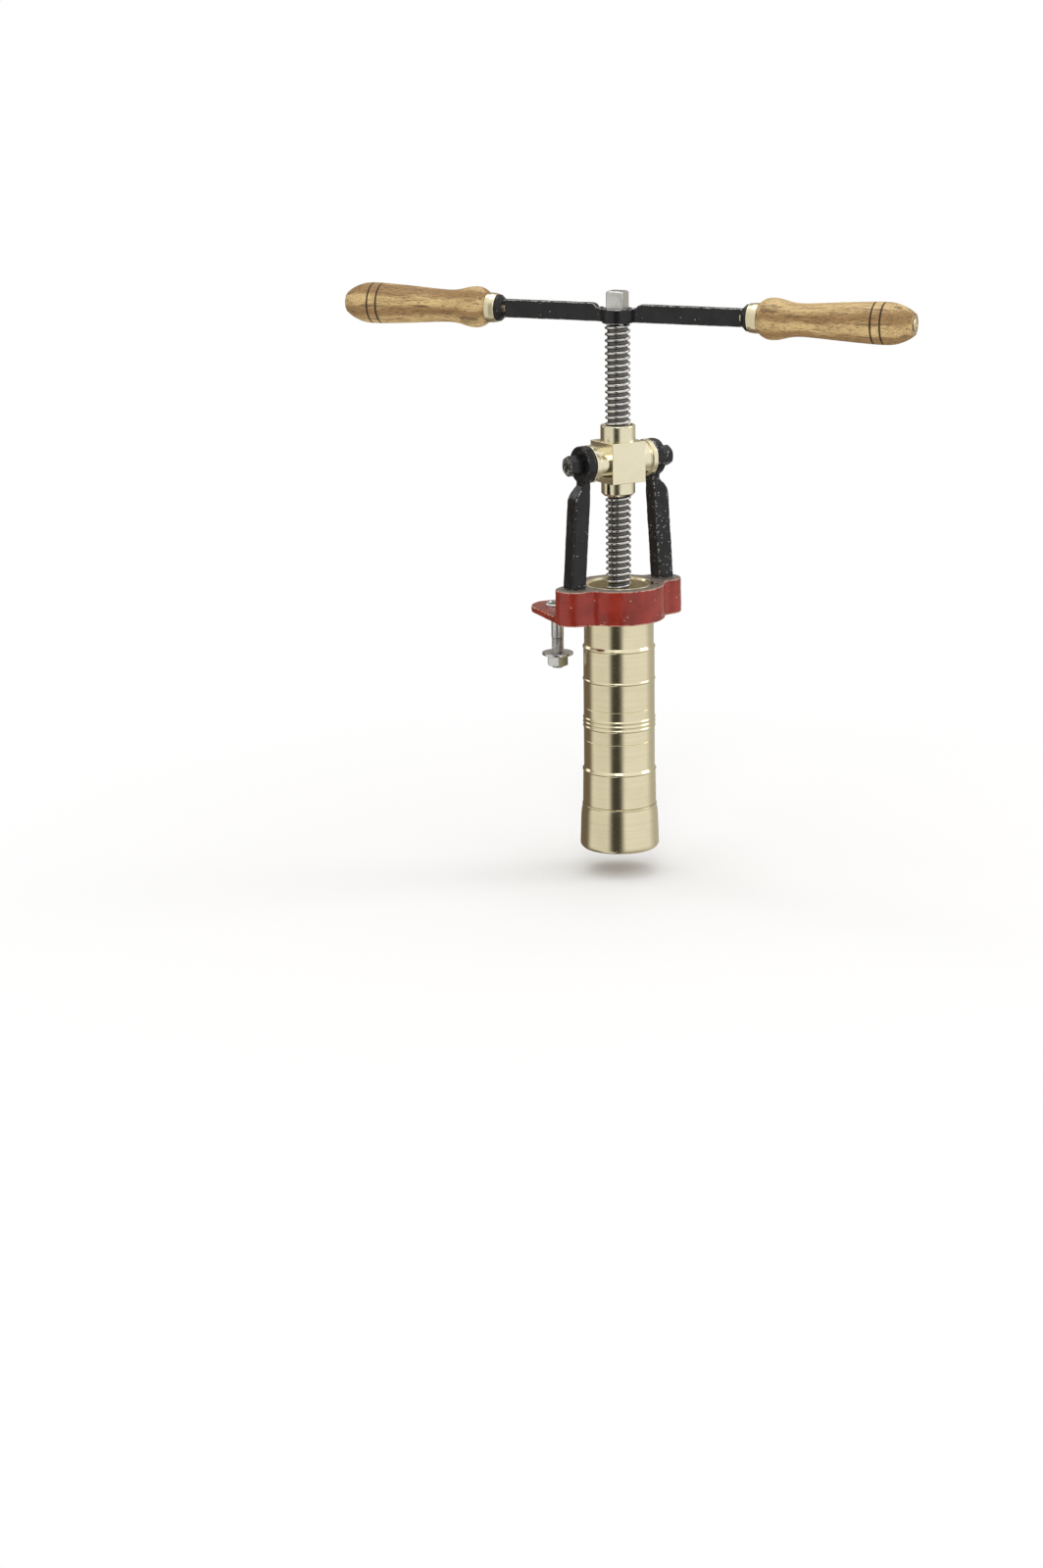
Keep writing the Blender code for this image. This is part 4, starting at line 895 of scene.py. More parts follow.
screwShape = {
    "radius": 0.0120, "depth": 0.0024, "pitch": 0.0060, "crest": 0.22, "root": 0.72, "chamfer": 0.0016,
    "columns": 60, "rowsPerTurn": 14, "neck": 0.0070, "button": 0.0095, "buttonHeight": 0.0074,
    "square": 0.0170, "turned": 0.0113, "squareChamfer": 0.0016, "squareStart": 0.2794, "overlap": 0.001,
}


def squareOutline(width, radius, steps=5):
    # a square bar turned down at its corners
    slip = math.acos(width / 2 / radius)
    points = []
    for quarter in range(4):
        middle = math.pi / 4 + quarter * math.pi / 2
        points += arcPoints((0, 0), radius, middle - math.pi / 4 + slip, middle + math.pi / 4 - slip, steps)
    return points


def threadedPiece(name, low, high, rows, shape, material):
    # the tree's sockets carry the names of the settings
    sizes = {label: shape[label.lower()] for label in (
        "Radius", "Depth", "Pitch", "Crest", "Root", "Chamfer", "Columns")}
    return grown(name, threadedRod, dict(sizes, Low=low, High=high, Rows=rows, Material=material))


def makeLeadScrew(shape):
    low, high = keeperTop + seatGap, shape["squareStart"]
    neck, button, cut, overlap = shape["neck"], shape["button"], shape["squareChamfer"], shape["overlap"]
    rows = round((high - low) / shape["pitch"] * shape["rowsPerTurn"])
    shaft = threadedPiece("leadScrewThread", low, high, rows, shape, screwSteel)
    buttonTop = pistonTop - seatGap
    buttonLow = buttonTop - shape["buttonHeight"]
    foot = turned("leadScrewFoot", [
        (0, low + overlap, 0), (neck, low + overlap, 0), (neck, buttonTop, 0), (button, buttonTop, 0.0004),
        (button, buttonLow, 0.0004), (0, buttonLow, 0)], 2, 48)
    rings = []
    for slim, narrow, height in (
            (0, 0, high - overlap), (0, 0, screwTop - cut), (0.5, 0.35, screwTop - cut * 0.45),
            (1.6, 1.5, screwTop)):
        outline = squareOutline(shape["square"] - cut * narrow, shape["turned"] - cut * slim)
        rings.append([(x, y, height) for x, y in outline])
    head = softenEdges(loft("leadScrewSquare", rings, facingHandle), 0.00025)
    settle(shaft, "screw", screwSteel, "lead_screw", 50, True)
    settle(foot, "screw", screwSteel, "lead_screw")
    settle(head, "screw", squareSteel, "lead_screw", 30)


makeLeadScrew(screwShape)
tell("lead screw made")


# Press nut

nutShape = {
    "width": 0.0375, "height": 0.0385, "edge": 0.0007, "topRadius": 0.0165, "lowRadius": 0.0160,
    "topEdge": 0.0013, "lowChamfer": 0.0025, "waist": 0.0110, "trunnion": 0.0160, "collar": 0.0176,
    "collarLength": 0.0052, "reach": 0.03445, "bore": 0.0123, "mouth": 0.0016, "pivotHole": 0.0063,
    "pivotDepth": 0.0113, "trunnionRoot": 0.0120, "step": 0.0004, "stepFrom": 0.0012, "stepTo": 0.0016,
    "steps": 96,
}


def makePressNut(shape):
    top, low, trunnion, collar = shape["topRadius"], shape["lowRadius"], shape["trunnion"], shape["collar"]
    reach, bore, steps, waist = shape["reach"], shape["bore"], shape["steps"], pivotHeight + shape["waist"]
    half, chamfer, mouth, step = shape["height"] / 2, shape["lowChamfer"], shape["mouth"], shape["step"]
    piece = prism("pressNutBlock", squareCorners(shape["width"]), pivotHeight - half, pivotHeight + half)
    softenEdges(piece, shape["edge"], 3)
    tools = [turned("nutBosses", [
        (0, nutTop, 0), (top, nutTop, shape["topEdge"]), (top, waist, 0), (low, waist, 0),
        (low, nutBottom + chamfer, 0.0008), (low - chamfer, nutBottom, 0.0005), (0, nutBottom, 0)], 4, steps)]
    inner, root = reach - shape["collarLength"], shape["trunnionRoot"]
    for side in (-1, 1):
        tools.append(turned("nutTrunnion", [
            (0, reach, 0), (collar, reach, 0.0008), (collar, inner, 0.0006), (trunnion, inner, 0.0003),
            (trunnion, inner - shape["stepFrom"], 0.0003), (trunnion - step, inner - shape["stepTo"], 0),
            (trunnion - step, root, 0), (0, root, 0)], 3, steps, alongX(side, pivotHeight)))
    drills = [lathe("nutBore", [
        (0, nutTop + overCut), (bore + mouth + overCut, nutTop + overCut), (bore, nutTop - mouth),
        (bore, nutBottom + mouth), (bore + mouth + overCut, nutBottom - overCut),
        (0, nutBottom - overCut)], 72)]
    for side in (-1, 1):
        drills.append(rod(
            "nutPivotHole", shape["pivotHole"], reach - shape["pivotDepth"], reach + overCut, 48,
            alongX(side, pivotHeight)))
    combine(piece, "UNION", *tools)
    combine(piece, "DIFFERENCE", *drills)
    plainMesh(piece, *tools, *drills)
    settle(piece, "frame", nutBrass, "press_nut", 28)


makePressNut(nutShape)
tell("press nut made")


# Arms

armShape = {
    "width": 0.0162, "corner": 0.0013, "topInset": 0.0055, "shoulderDrop": 0.0345, "neckDrop": 0.0200,
    "neckDepth": 0.0130, "neckTop": 0.010, "neckInset": 0.0003, "bossOffset": 0.0500, "eyeRadius": 0.0175,
    "eyeInner": 0.03475, "eyeOuter": 0.04375, "eyeChamfer": 0.0017, "hole": 0.0063, "spigot": 0.0060,
    "spigotOverlap": 0.002, "shoulderSteps": 14, "voxel": 0.0005, "smoothing": 3, "skinScale": 0.006,
    "wearSpread": 4,
}


def armSection(shape, inner, outer, depth, height, side):
    cut = min(shape["corner"], (outer - inner) / 4)
    half = depth / 2
    points = roundCorners([
        (outer, half, cut), (inner, half, cut), (inner, -half, cut), (outer, -half, cut)], 2)
    return [(side * x, y, height) for x, y in points]


def makeArm(side, word, material, shape):
    width, neckDepth = shape["width"], shape["neckDepth"]
    eyeInner, eyeOuter = shape["eyeInner"], shape["eyeOuter"]
    foot = castingTop + seatGap
    shoulder = pivotHeight - shape["shoulderDrop"]
    neck = pivotHeight - shape["neckDrop"]
    neckInner, neckOuter = eyeInner + shape["neckInset"], eyeOuter - shape["neckInset"]
    footInner = shape["bossOffset"] - width / 2
    topInner = footInner - shape["topInset"]
    topOuter = topInner + width
    rings = [armSection(shape, footInner, footInner + width, width, foot, side),
             armSection(shape, topInner, topOuter, width, shoulder, side)]
    for step in range(1, shape["shoulderSteps"] + 1):
        share = step / shape["shoulderSteps"]
        lean = 1 - math.cos(share * math.pi / 2)
        rings.append(armSection(
            shape, topInner + (neckInner - topInner) * share, topOuter + (neckOuter - topOuter) * lean,
            width + (neckDepth - width) * share, shoulder + (neck - shoulder) * share, side))
    rings.append(armSection(shape, neckInner, neckOuter, neckDepth, pivotHeight - shape["neckTop"], side))
    piece = loft("forgedArm_" + word, rings)
    place = alongX(side, pivotHeight)
    radius, chamfer = shape["eyeRadius"], shape["eyeChamfer"]
    eye = turned("armEye", [
        (0, eyeOuter, 0), (radius, eyeOuter, chamfer), (radius, eyeInner, chamfer), (0, eyeInner, 0)],
        4, 72, place)
    hole = rod("armHole", shape["hole"], eyeInner - overCut, eyeOuter + overCut, 48, place)
    combine(piece, "UNION", eye)
    combine(piece, "DIFFERENCE", hole)
    plainMesh(piece, eye, hole)
    forgedSkin(piece, shape)
    settle(piece, "frame", material, "arm_" + word, 60, True)
    spigotLow, spigotTop = heights("arm_" + word)[0], foot + shape["spigotOverlap"]
    spigot = turned("armSpigot_" + word, [
        (0, spigotTop, 0), (shape["spigot"], spigotTop, 0), (shape["spigot"], spigotLow, 0.0006),
        (0, spigotLow, 0)], 3, 40, Matrix.Translation((side * shape["bossOffset"], 0, 0)))
    settle(spigot, "frame", fixingZinc, "arm_" + word)


makeArm(-1, "left", armBlack, dict(armShape, skinDepth=0.00018, skinSeed=2.0))
makeArm(1, "right", armChipped, dict(armShape, skinDepth=0.00030, skinSeed=4.0))
tell("arms made")


# Pivot bolts and lock nuts, bench bolts, washers and nuts

def hexPiece(name, flats, low, high, hole, place):
    # a hexagon whose corners are turned off at 30 degrees, with a countersunk hole or none
    corner = flats / math.sqrt(3)
    piece = prism(name, arcPoints((0, 0), corner, 0, math.tau * 5 / 6, 5), low, high, place)
    face = flats / 2 * 0.97
    drop = (corner - face) * math.tan(math.radians(30))
    wide, further = corner + 0.001, 0.0006  # the cutting cone runs on past the corners
    tools = [lathe(name + "Turned", [
        (0, high), (face, high), (wide, high - drop - further), (wide, low + drop + further), (face, low),
        (0, low)], 72, place)]
    combine(piece, "INTERSECT", *tools)
    if hole:
        sink, past = 0.0012, 0.002
        drill = lathe(name + "Drill", [
            (0, high + past), (hole + sink, high + past), (hole + sink, high), (hole, high - sink),
            (hole, low + sink), (hole + sink, low), (hole + sink, low - past), (0, low - past)], 48, place)
        combine(piece, "DIFFERENCE", drill)
        tools.append(drill)
    plainMesh(piece, *tools)
    softenEdges(piece, 0.00018)
    smoothShade(piece, 25, False)
    return piece


def washerRing(name, outer, inner, low, high, outerEdge, innerEdge, steps, place):
    return turned(name, [
        (outer, high, outerEdge), (outer, low, outerEdge), (inner, low, innerEdge), (inner, high, innerEdge)],
        2, steps, place)


fixingShape = {
    "radius": 0.0060, "pitch": 0.00175, "depth": 0.0010, "crest": 0.1, "root": 0.85, "rowsPerTurn": 10,
    "nutHole": 0.0062, "overlap": 0.001,
}


def fixingThread(name, low, high, place, node, **settings):
    # a bolt's threaded shank, run a little way into what it joins
    shape = dict(fixingShape, **settings)
    rows = round((high - low) / shape["pitch"] * shape["rowsPerTurn"])
    shank = threadedPiece(name, low, high + shape["overlap"], rows, shape, fixingZinc)
    shank.data.transform(place)
    settle(shank, "frame", fixingZinc, node, 60, True)


pivotShape = {"flats": 0.0170, "headHeight": 0.0080}


def makePivotBolt(side, word, shape):
    place = alongX(side, pivotHeight)
    spans = []
    for node in ("pivot_bolt_" + word, "pivot_lock_nut_" + word):
        low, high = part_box(node)
        spans.append((low.x, high.x) if side > 0 else (-high.x, -low.x))
    (tip, reach), (inner, outer) = spans
    headStart = reach - shape["headHeight"]
    head = hexPiece("pivotHead_" + word, shape["flats"], headStart, reach, 0, place)
    markEdges(head, 1)
    settle(head, "frame", boltBlack, "pivot_bolt_" + word, 0)
    fixingThread(
        "pivotShank_" + word, tip, headStart, place, "pivot_bolt_" + word, chamfer=0.0008, columns=32)
    lock = hexPiece("pivotLockNut_" + word, shape["flats"], inner, outer, fixingShape["nutHole"], place)
    markEdges(lock, 1)
    settle(lock, "frame", boltBlack, "pivot_lock_nut_" + word, 0)


benchShape = {
    "spread": 0.0320, "reach": 0.0580, "earTop": 0.0065, "head": 0.0118, "hollow": 0.0087, "rim": 0.0018,
    "shank": 0.0060, "flats": 0.0190, "washer": 0.0150, "hole": 0.0063, "threadLength": 0.0300,
    # of the rim's height: how deep the hollow's floor and its disc of painted shade lie, and where the head's
    # rounded edge begins
    "middleShare": 0.35, "edgeShare": 0.3,
    "shadeDiscHalf": 0.0003, "hollowEdge": 0.0006, "rimEdge": 0.0010,
}


def makeBenchFixing(side, word, shape):
    place = Matrix.Translation((side * shape["spread"], shape["reach"], 0))
    low = heights("bench_bolt_" + word)[0]
    shank, outer, hollow = shape["shank"], shape["head"], shape["hollow"]
    threadTop = low + shape["threadLength"]
    seat = shape["earTop"] + seatGap
    rim, floor = seat + shape["rim"], seat + shape["rim"] * shape["middleShare"]
    gap = shape["shadeDiscHalf"]
    # a thin near-black disc laid on the hollow's floor: painted shade in the head's hollow
    middle = turned("benchBoltShadeDisc_" + word, [
        (0, floor + gap, 0), (hollow - gap, floor + gap, 0.0001), (hollow - gap, floor - gap, 0),
        (0, floor - gap, 0)], 2, 64, place)
    settle(middle, "frame", paintedShadeZinc, "bench_bolt_" + word)
    head = turned("benchBoltHead_" + word, [
        (0, floor, 0), (hollow, floor, 0.0002), (hollow + shape["hollowEdge"], rim, 0.0005),
        (outer - shape["rimEdge"], rim, 0.0006),
        (outer, seat + shape["rim"] * shape["edgeShare"], 0.0003), (outer, seat, 0), (shank, seat, 0),
        (shank, threadTop, 0), (0, threadTop, 0)], 4, 72, place)
    settle(head, "frame", fixingZinc, "bench_bolt_" + word, 40)
    fixingThread(
        "benchBoltThread_" + word, low, threadTop, place, "bench_bolt_" + word, chamfer=0.0009, columns=36)
    ring = washerRing("benchWasher_" + word, shape["washer"], shape["hole"], *heights("bench_washer_" + word),
                      0.0004, 0.0002, 72, place)
    settle(ring, "frame", fixingZinc, "bench_washer_" + word)
    nut = hexPiece(
        "benchNut_" + word, shape["flats"], *heights("bench_nut_" + word), fixingShape["nutHole"], place)
    settle(nut, "frame", fixingZinc, "bench_nut_" + word, 0)


armFixingShape = {"washer": 0.0120, "hole": 0.0063}


def makeArmFixing(side, word, shape):
    place = Matrix.Translation((side * armShape["bossOffset"], 0, 0))
    nut = hexPiece(
        "armNut_" + word, benchShape["flats"], *heights("arm_nut_" + word), fixingShape["nutHole"], place)
    settle(nut, "frame", fixingZinc, "arm_nut_" + word, 0)
    ring = washerRing("armWasher_" + word, shape["washer"], shape["hole"], *heights("arm_washer_" + word),
                      0.0003, 0, 64, place)
    settle(ring, "frame", fixingZinc, "arm_washer_" + word)


for side, word in ((-1, "left"), (1, "right")):
    makePivotBolt(side, word, pivotShape)
    makeBenchFixing(side, word, benchShape)
    makeArmFixing(side, word, armFixingShape)
tell("bolts, nuts and washers made")


# Bracket casting

castingShape = {
    "ring": 0.0435, "boss": 0.0180, "offset": 0.0500, "fillet": 0.0120, "draft": 0.0005, "edge": 0.0009,
    "bore": 0.0335, "earThickness": 0.0065, "earRadius": 0.0250, "earSpread": 0.0320, "earReach": 0.0580,
    "earEdge": 0.0014, "scallop": 0.0120, "drill": 0.0063, "drillTop": 0.012, "pocket": 0.0129,
    "pocketDepth": 0.0135, "voxel": 0.0008, "smoothing": 4, "skinDepth": 0.00022, "skinScale": 0.008,
    "skinSeed": 7.0, "wearSpread": 3,
}


def castingOutline(shape, grow):
    # a ring with a round boss on each side, joined by fillets
    ring, boss, fillet, offset = shape["ring"] + grow, shape["boss"] + grow, shape["fillet"], shape["offset"]
    x = ((ring + fillet) ** 2 - (boss + fillet) ** 2 + offset ** 2) / (2 * offset)
    y = math.sqrt((ring + fillet) ** 2 - x ** 2)
    ringAngle, bossAngle = math.atan2(y, x), math.atan2(y, x - offset)
    upper = arcPoints((offset, 0), boss, 0, bossAngle, 20)[:-1]
    upper += arcPoints((x, y), fillet, bossAngle - math.pi, ringAngle - math.pi, 8)[:-1]
    upper += arcPoints((0, 0), ring, ringAngle, math.pi / 2, 20)
    half = upper + [(-px, py) for px, py in reversed(upper[:-1])]
    return half + [(px, -py) for px, py in reversed(half[1:-1])]


def earOutline(shape):
    # two lobes with a dip between them; the sides run straight to the bosses and touch them
    radius, scallop = shape["earRadius"], shape["scallop"]
    spread, reach = shape["earSpread"], shape["earReach"]
    dipY = reach + math.sqrt((radius + scallop) ** 2 - spread ** 2)
    turn = math.atan2(dipY - reach, -spread)
    boss = shape["boss"] - shape["draft"]
    across = math.hypot(shape["offset"] - spread, reach)
    side = math.atan2(-reach, shape["offset"] - spread) + math.acos((radius - boss) / across)
    right = [(shape["offset"] + boss * math.cos(side), boss * math.sin(side))]
    right += arcPoints((spread, reach), radius, side, turn, 24)[:-1]
    dip = arcPoints((0, dipY), scallop, turn - math.pi, -turn, 14)
    return right + dip + [(-x, y) for x, y in reversed(right)]


def makeCasting(shape):
    under, drill = castingBottom - overCut, shape["drill"]
    low = [(x, y, castingBottom) for x, y in castingOutline(shape, shape["draft"])]
    high = [(x, y, castingTop) for x, y in castingOutline(shape, 0)]
    piece = softenEdges(loft("bracketCasting", [low, high]), shape["edge"], 3)
    ear = prism("castingEar", earOutline(shape), castingBottom, castingBottom + shape["earThickness"])
    softenEdges(ear, shape["earEdge"], 3)
    tools = [rod("castingBore", shape["bore"], under, castingTop + overCut, 128)]
    for side in (-1, 1):
        tools.append(lathe("castingPocket", [
            (0, castingTop + overCut), (drill, castingTop + overCut), (drill, shape["pocketDepth"]),
            (shape["pocket"], shape["pocketDepth"]), (shape["pocket"], under), (0, under)],
            64, Matrix.Translation((side * shape["offset"], 0, 0))))
        tools.append(rod("earHole", drill, under, shape["drillTop"], 48,
                         Matrix.Translation((side * shape["earSpread"], shape["earReach"], 0))))
    combine(piece, "UNION", ear)
    combine(piece, "DIFFERENCE", *tools)
    plainMesh(piece, ear, *tools)
    forgedSkin(piece, shape)
    settle(piece, "frame", castingRed, "bracket_casting", 60, True)


makeCasting(castingShape)
tell("bracket casting made")


# Crank bar

barShape = {
    "hub": 0.0145, "hubHeight": 0.0140, "thickness": 0.0080, "height": 0.0170, "lift": 0.0012,
    "fillet": 0.0100, "edge": 0.0011, "spot": 0.0165, "spotDepth": 0.0012, "blend": 0.0050, "square": 0.0176,
    "tang": 0.0050, "tangHead": 0.0065, "tangCrown": 0.6, "rivetDepth": 0.0014, "rivetEdge": 0.0010,
    "tangOverlap": 0.002, "dimple": ((0, 0.0013, 0), (0.0016, 0.0002, 0), (0.0019, 0, 0)),
    "voxel": 0.00055, "smoothing": 4, "skinDepth": 0.00016, "skinScale": 0.010, "skinSeed": 11.0,
    "wearSpread": 4,
}


def barOutline(shape, near, far, grow):
    half, hub, fillet = shape["thickness"] / 2 + grow, shape["hub"] + grow, shape["fillet"] - grow
    filletY = half + fillet
    filletX = math.sqrt((hub + fillet) ** 2 - filletY ** 2)
    hubAngle = math.atan2(filletY, filletX)
    quarter = arcPoints((filletX, filletY), fillet, -math.pi / 2, hubAngle - math.pi, 8)
    upper = [(near + grow, half)] + quarter + [(-x, y) for x, y in reversed(quarter)] + [(-far - grow, half)]
    return upper + [(x, -y) for x, y in reversed(upper)]


def makeCrankBar(shape):
    near = reachAlongHandle("collar_right", 1, False) - seatGap
    far = reachAlongHandle("collar_left", -1, False) - seatGap
    hubRadius, edge, spot, blend = shape["hub"], shape["edge"], shape["spot"], shape["blend"]
    hubHigh = barBottom + shape["hubHeight"]
    low = barBottom + shape["lift"]
    high = low + shape["height"]
    rings = []
    for grow, height in (
            (-edge, low), (-edge * 0.3, low + edge * 0.3), (0, low + edge), (0, high - edge),
            (-edge * 0.3, high - edge * 0.3), (-edge, high)):
        rings.append([(x, y, height) for x, y in barOutline(shape, near, far, grow)])
    piece = loft("crankBarForged", rings, facingHandle)
    # a round spot face sinks the bar's top over the hub
    floor = hubHigh - shape["spotDepth"]
    profile = [(0, high + overCut), (spot + blend * 1.9, high + overCut), (spot + blend * 1.7, high)]
    profile += arcPoints((spot + blend * 1.7, high - blend), blend * 0.98, math.pi / 2, math.pi, 8)[1:-1]
    profile += [(spot, floor + blend * 0.35), (spot - 0.0008, floor), (0, floor)]
    sunk = lathe("hubSpotFace", profile, 72, facingHandle)
    hub = turned("hubRound", [
        (0, hubHigh, 0), (hubRadius, hubHigh, 0.0010), (hubRadius, barBottom, 0.0010), (0, barBottom, 0)],
        4, 96, facingHandle)
    square = squareCorners(shape["square"])
    hole = prism("hubSquare", square, barBottom - overCut, high + overCut, facingHandle)
    combine(piece, "DIFFERENCE", sunk)
    combine(piece, "UNION", hub)
    combine(piece, "DIFFERENCE", hole)
    plainMesh(piece, sunk, hub, hole)
    forgedSkin(piece, shape)
    settle(piece, "screw", barBlackRubAndHighlight, "crank_bar", 60, True)
    for side, word, reach in ((-1, "far", far), (1, "near", near)):
        # the tang's end, riveted over in the grip's end
        tang, head = shape["tang"], shape["tangHead"]
        end = reachAlongHandle("crank_bar", side, True)
        neck, root = end - shape["rivetDepth"], reach - shape["tangOverlap"]
        corners = [(radius, end - drop, rounding) for radius, drop, rounding in shape["dimple"]]
        corners += [
            (head * shape["tangCrown"], end, 0.0008), (head, end - shape["rivetEdge"], 0.0004),
            (head, neck, 0.0001), (tang, neck, 0), (tang, root, 0), (0, root, 0)]
        rivet = turned("tangRivet_" + word, corners, 3, 40, alongHandle(side))
        settle(rivet, "screw", washerZinc, "crank_bar")


makeCrankBar(barShape)
tell("crank bar made")


# Collars, ferrules, grips and end washers

gripShape = {
    "diameter": 0.0390, "bore": 0.0053, "spigot": 0.0116, "steps": 96, "samples": 72,
    # from the ferrule to the end, as (share of the length, share of the diameter)
    "outline": (
        (0.000, 0.720), (0.022, 0.850), (0.050, 0.955), (0.085, 0.990), (0.133, 0.955), (0.200, 0.832),
        (0.262, 0.782), (0.350, 0.802), (0.535, 0.894), (0.700, 0.965), (0.790, 0.990), (0.870, 0.965),
        (0.930, 0.832), (0.970, 0.680), (1.000, 0.520)),
    "grooves": (0.752, 0.814), "grooveWidth": 0.0016, "grooveDepth": 0.0009, "washerRadius": 0.0090,
    "washerThickness": 0.0016,
}


def gripRadius(shape, share):
    # a smooth curve through the outline's shares
    table = shape["outline"]
    last = len(table) - 1
    index = 0
    while index < last - 1 and share > table[index + 1][0]:
        index += 1
    before, start = table[max(index - 1, 0)], table[index]
    end, after = table[index + 1], table[min(index + 2, last)]
    span = end[0] - start[0]
    t = (share - start[0]) / span
    slopeStart = (end[1] - before[1]) / (end[0] - before[0]) * span
    slopeEnd = (after[1] - start[1]) / (after[0] - start[0]) * span
    return shape["diameter"] / 2 * (
        (2 * t ** 3 - 3 * t ** 2 + 1) * start[1] + (t ** 3 - 2 * t ** 2 + t) * slopeStart
        + (3 * t ** 2 - 2 * t ** 3) * end[1] + (t ** 3 - t ** 2) * slopeEnd)


def gripOutline(shape, start, length):
    # the turned outside from the end back to the ferrule, with its grooves cut in
    shares = {step / shape["samples"] for step in range(shape["samples"] + 1)}
    half = shape["grooveWidth"] / length / 2
    for groove in shape["grooves"]:
        shares = {share for share in shares if abs(share - groove) > half * 1.1}
        shares |= {groove + half * step / 3 for step in range(-3, 4)}
    outline = []
    for share in sorted(shares, reverse=True):
        radius = gripRadius(shape, share)
        for groove in shape["grooves"]:
            near = abs(share - groove) / half
            if near < 1:
                radius -= shape["grooveDepth"] * (1 - near ** 2)
        outline.append((radius, start + length * share))
    return outline


collarShape = {"rim": 0.0125, "neck": 0.0090, "lip": 0.0022, "bore": 0.0053}
ferruleShape = {"outer": 0.0140, "small": 0.0131, "wall": 0.0012, "lip": 0.0100, "swell": 0.0003,
                "swellEnd": 0.0050, "swellStart": 0.0011}


def makeGrip(side, word, shape):
    start = reachAlongHandle("ferrule_" + word, side, True) + seatGap
    end = reachAlongHandle("grip_" + word, side, True)
    length = end - start
    place = alongHandle(side)
    bore, washer, thickness = shape["bore"], shape["washerRadius"], shape["washerThickness"]
    pocket, floor = washer + seatGap, end - thickness - seatGap
    points = [(pocket, end)] + gripOutline(shape, start, length)
    points += [(shape["spigot"], start), (bore, start), (bore, floor), (pocket, floor)]
    grooves = [start + length * groove for groove in shape["grooves"]]
    piece = lathe("woodGrip_" + word, points, shape["steps"], place)
    wood = makeWood("gripWood_" + word, woodLook, side, grooves)
    settle(piece, "grip_" + word, wood, "grip_" + word, 50)

    first, last = reachAlongHandle("ferrule_" + word, side, False), start - seatGap
    outer, small, wall, lip, swell, swellEnd, swellStart = ferruleShape.values()
    piece = turned("brassFerrule_" + word, [
        (outer, last, 0.0003), (outer, first + swellEnd, 0.0010), (small + swell, first + swellStart, 0.0004),
        (small + swell, first, 0.0005), (lip, first, 0.0002), (lip, first + wall, 0),
        (small - wall, first + wall, 0), (small - wall, last, 0)], 4, 96, place)
    settle(piece, "grip_" + word, ferruleBrass, "ferrule_" + word)

    first, last = (reachAlongHandle("collar_" + word, side, farEnd) for farEnd in (False, True))
    rim, neck, lip, hole = collarShape.values()
    piece = turned("bellCollar_" + word, [
        (hole, last, 0), (rim, last, 0.0006), (rim, last - lip, 0.0008),
        ((rim + neck) / 2, (first + last - lip) / 2, 0.002), (neck, first, 0.0006), (hole, first, 0)],
        4, 72, place)
    markEdges(piece, 1)
    settle(piece, "screw", barBlackRubAndHighlight, "collar_" + word)

    seat = end - thickness
    piece = turned("endDisc_" + word, [
        (washer, end, 0.0003), (washer, seat, 0.0002), (bore, seat, 0), (bore, end, 0.0003)], 3, 64, place)
    settle(piece, "screw", washerZinc, "end_washer_" + word)


makeGrip(-1, "left", gripShape)
makeGrip(1, "right", gripShape)
tell("grips, ferrules and collars made")


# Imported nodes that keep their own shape

keptFinishes = {
    "piston_body": dieBronze, "piston_seal": sealFibre, "piston_keeper_front": fixingZinc,
    "piston_keeper_back": fixingZinc, "keeper_screw_1": fixingZinc, "keeper_screw_2": fixingZinc,
}
for node, material in keptFinishes.items():
    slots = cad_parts[node].data.materials
    slots.clear()
    slots.append(material)


# Floor, lamps and surroundings

studio = {
    "floorColour": (0.88, 0.88, 0.88, 1.0), "floorDrop": 0.0250, "floorNear": 0.36, "floorFar": 0.85,
    "floorSize": 60,
    # name, place, width and height, watts
    "lamps": (
        ("keyLamp", (-1.9, -2.6, 2.1), (1.3, 1.8), 26.0), ("fillLamp", (2.9, -1.3, 1.5), (1.4, 2.0), 18.0),
        ("topLamp", (0.2, 0.6, 3.2), (2.4, 2.4), 22.0), ("rimLamp", (-1.2, 3.0, 1.6), (1.2, 1.8), 10.0)),
    "target": (0.0, 0.0, 0.05),
    # darker zones round the room as (azimuth, half width, softness in degrees, colour)
    "zones": (
        (-44.0, 17.0, 12.0, (0.06, 0.055, 0.045, 1.0)), (168.0, 58.0, 16.0, (0.17, 0.135, 0.10, 1.0)),
        (-98.0, 12.0, 30.0, (0.79, 0.78, 0.74, 1.0)), (112.0, 12.0, 40.0, (0.52, 0.50, 0.45, 1.0))),
    "walls": (0.90, 0.90, 0.89, 1.0), "ground": (0.36, 0.33, 0.28, 1.0), "ceiling": (1.0, 1.0, 1.0, 1.0),
    "white": (1, 1, 1, 1),
}


def mixShader(tree, share, first, second, end):
    node = addNode(tree, "ShaderNodeMixShader", {0: share, 1: first.outputs[0], 2: second.outputs[0]})
    tree.links.new(node.outputs[0], end.inputs["Surface"])


def seenRays(tree, calc):
    paths = tree.nodes.new("ShaderNodeLightPath").outputs
    return calc("MAXIMUM", paths["Is Camera Ray"], paths["Is Transmission Ray"])


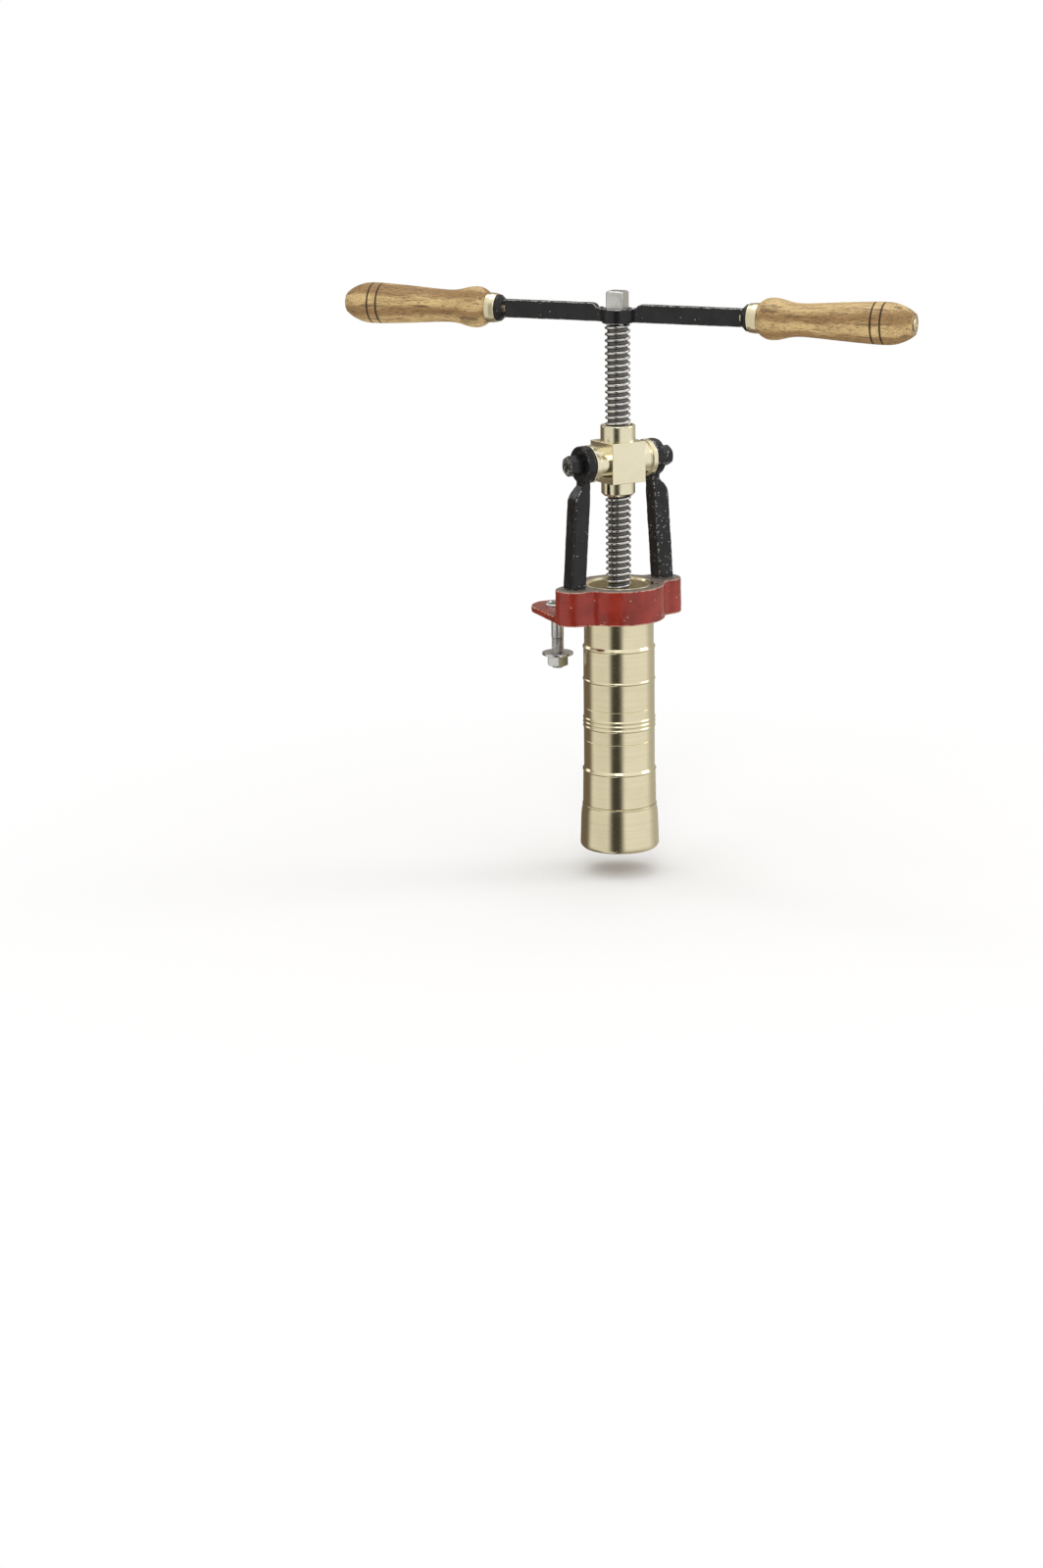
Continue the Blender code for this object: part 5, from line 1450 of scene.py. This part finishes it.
def makeFloor(settings):
    # lit near the object, where it keeps the shadow, and plain white for the camera further out
    material, tree, shader, coordinate, calc = newMaterial("studioFloor", 0.0, 0.9, 0.1)
    shader.inputs["Base Color"].default_value = settings["floorColour"]
    glow = addNode(tree, "ShaderNodeEmission", {"Color": settings["white"], "Strength": 1})
    away = ramp(tree, lengthOf(tree, coordinate), settings["floorNear"], settings["floorFar"])
    share = calc("MULTIPLY", away, seenRays(tree, calc))
    mixShader(tree, share, shader, glow, tree.nodes["Material Output"])
    solid = bmesh.new()
    bmesh.ops.create_grid(solid, x_segments=1, y_segments=1, size=settings["floorSize"])
    place = Matrix.Translation((0, 0, ringNutBottom - settings["floorDrop"]))
    floor = newPiece("studioFloor", meshFrom("studioFloor", solid, place))
    floor.data.materials.append(material)
    floor.visible_glossy = False


def makeLamps(settings):
    target = Vector(settings["target"])
    for name, place, size, power in settings["lamps"]:
        lamp = bpy.data.lights.new(name, "AREA")
        lamp.shape = "RECTANGLE"
        lamp.size, lamp.size_y = size
        lamp.energy = power
        holder = newPiece(name, lamp)
        holder.location = place
        holder.rotation_euler = (target - Vector(place)).to_track_quat("-Z", "Y").to_euler()


def makeWorld(settings):
    # pale walls with darker zones, which give polished metal its bands
    world = bpy.data.worlds.new("studioWorld")
    world.use_nodes = True
    tree = world.node_tree
    calc = calculator(tree)
    toward = splitAxes(tree, tree.nodes.new("ShaderNodeTexCoord").outputs["Generated"])
    azimuth = calc("ARCTAN2", toward["X"], calc("MULTIPLY", toward["Y"], -1.0))
    level = ramp(tree, toward["Z"], 0.50, 0.80, 1.0, 0.0)
    colour = mixColour(tree, ramp(tree, toward["Z"], -0.75, -0.30), settings["ground"], settings["walls"])
    colour = mixColour(tree, ramp(tree, toward["Z"], 0.35, 0.65), colour, settings["ceiling"])
    for middle, half, soft, dark in settings["zones"]:
        facing = calc("COSINE", calc("SUBTRACT", azimuth, math.radians(middle)))
        edges = (math.cos(math.radians(angle)) for angle in (half + soft, max(half - soft, 0)))
        colour = mixColour(tree, calc("MULTIPLY", ramp(tree, facing, *edges), level), colour, dark)
    room = tree.nodes["Background"]
    tree.links.new(colour, room.inputs["Color"])
    backdrop = addNode(tree, "ShaderNodeBackground", {"Color": settings["white"]})
    mixShader(tree, seenRays(tree, calc), room, backdrop, tree.nodes["World Output"])
    bpy.context.scene.world = world


makeFloor(studio)
makeLamps(studio)
makeWorld(studio)
bpy.context.scene.view_settings.view_transform = "Standard"
tell("studio made")
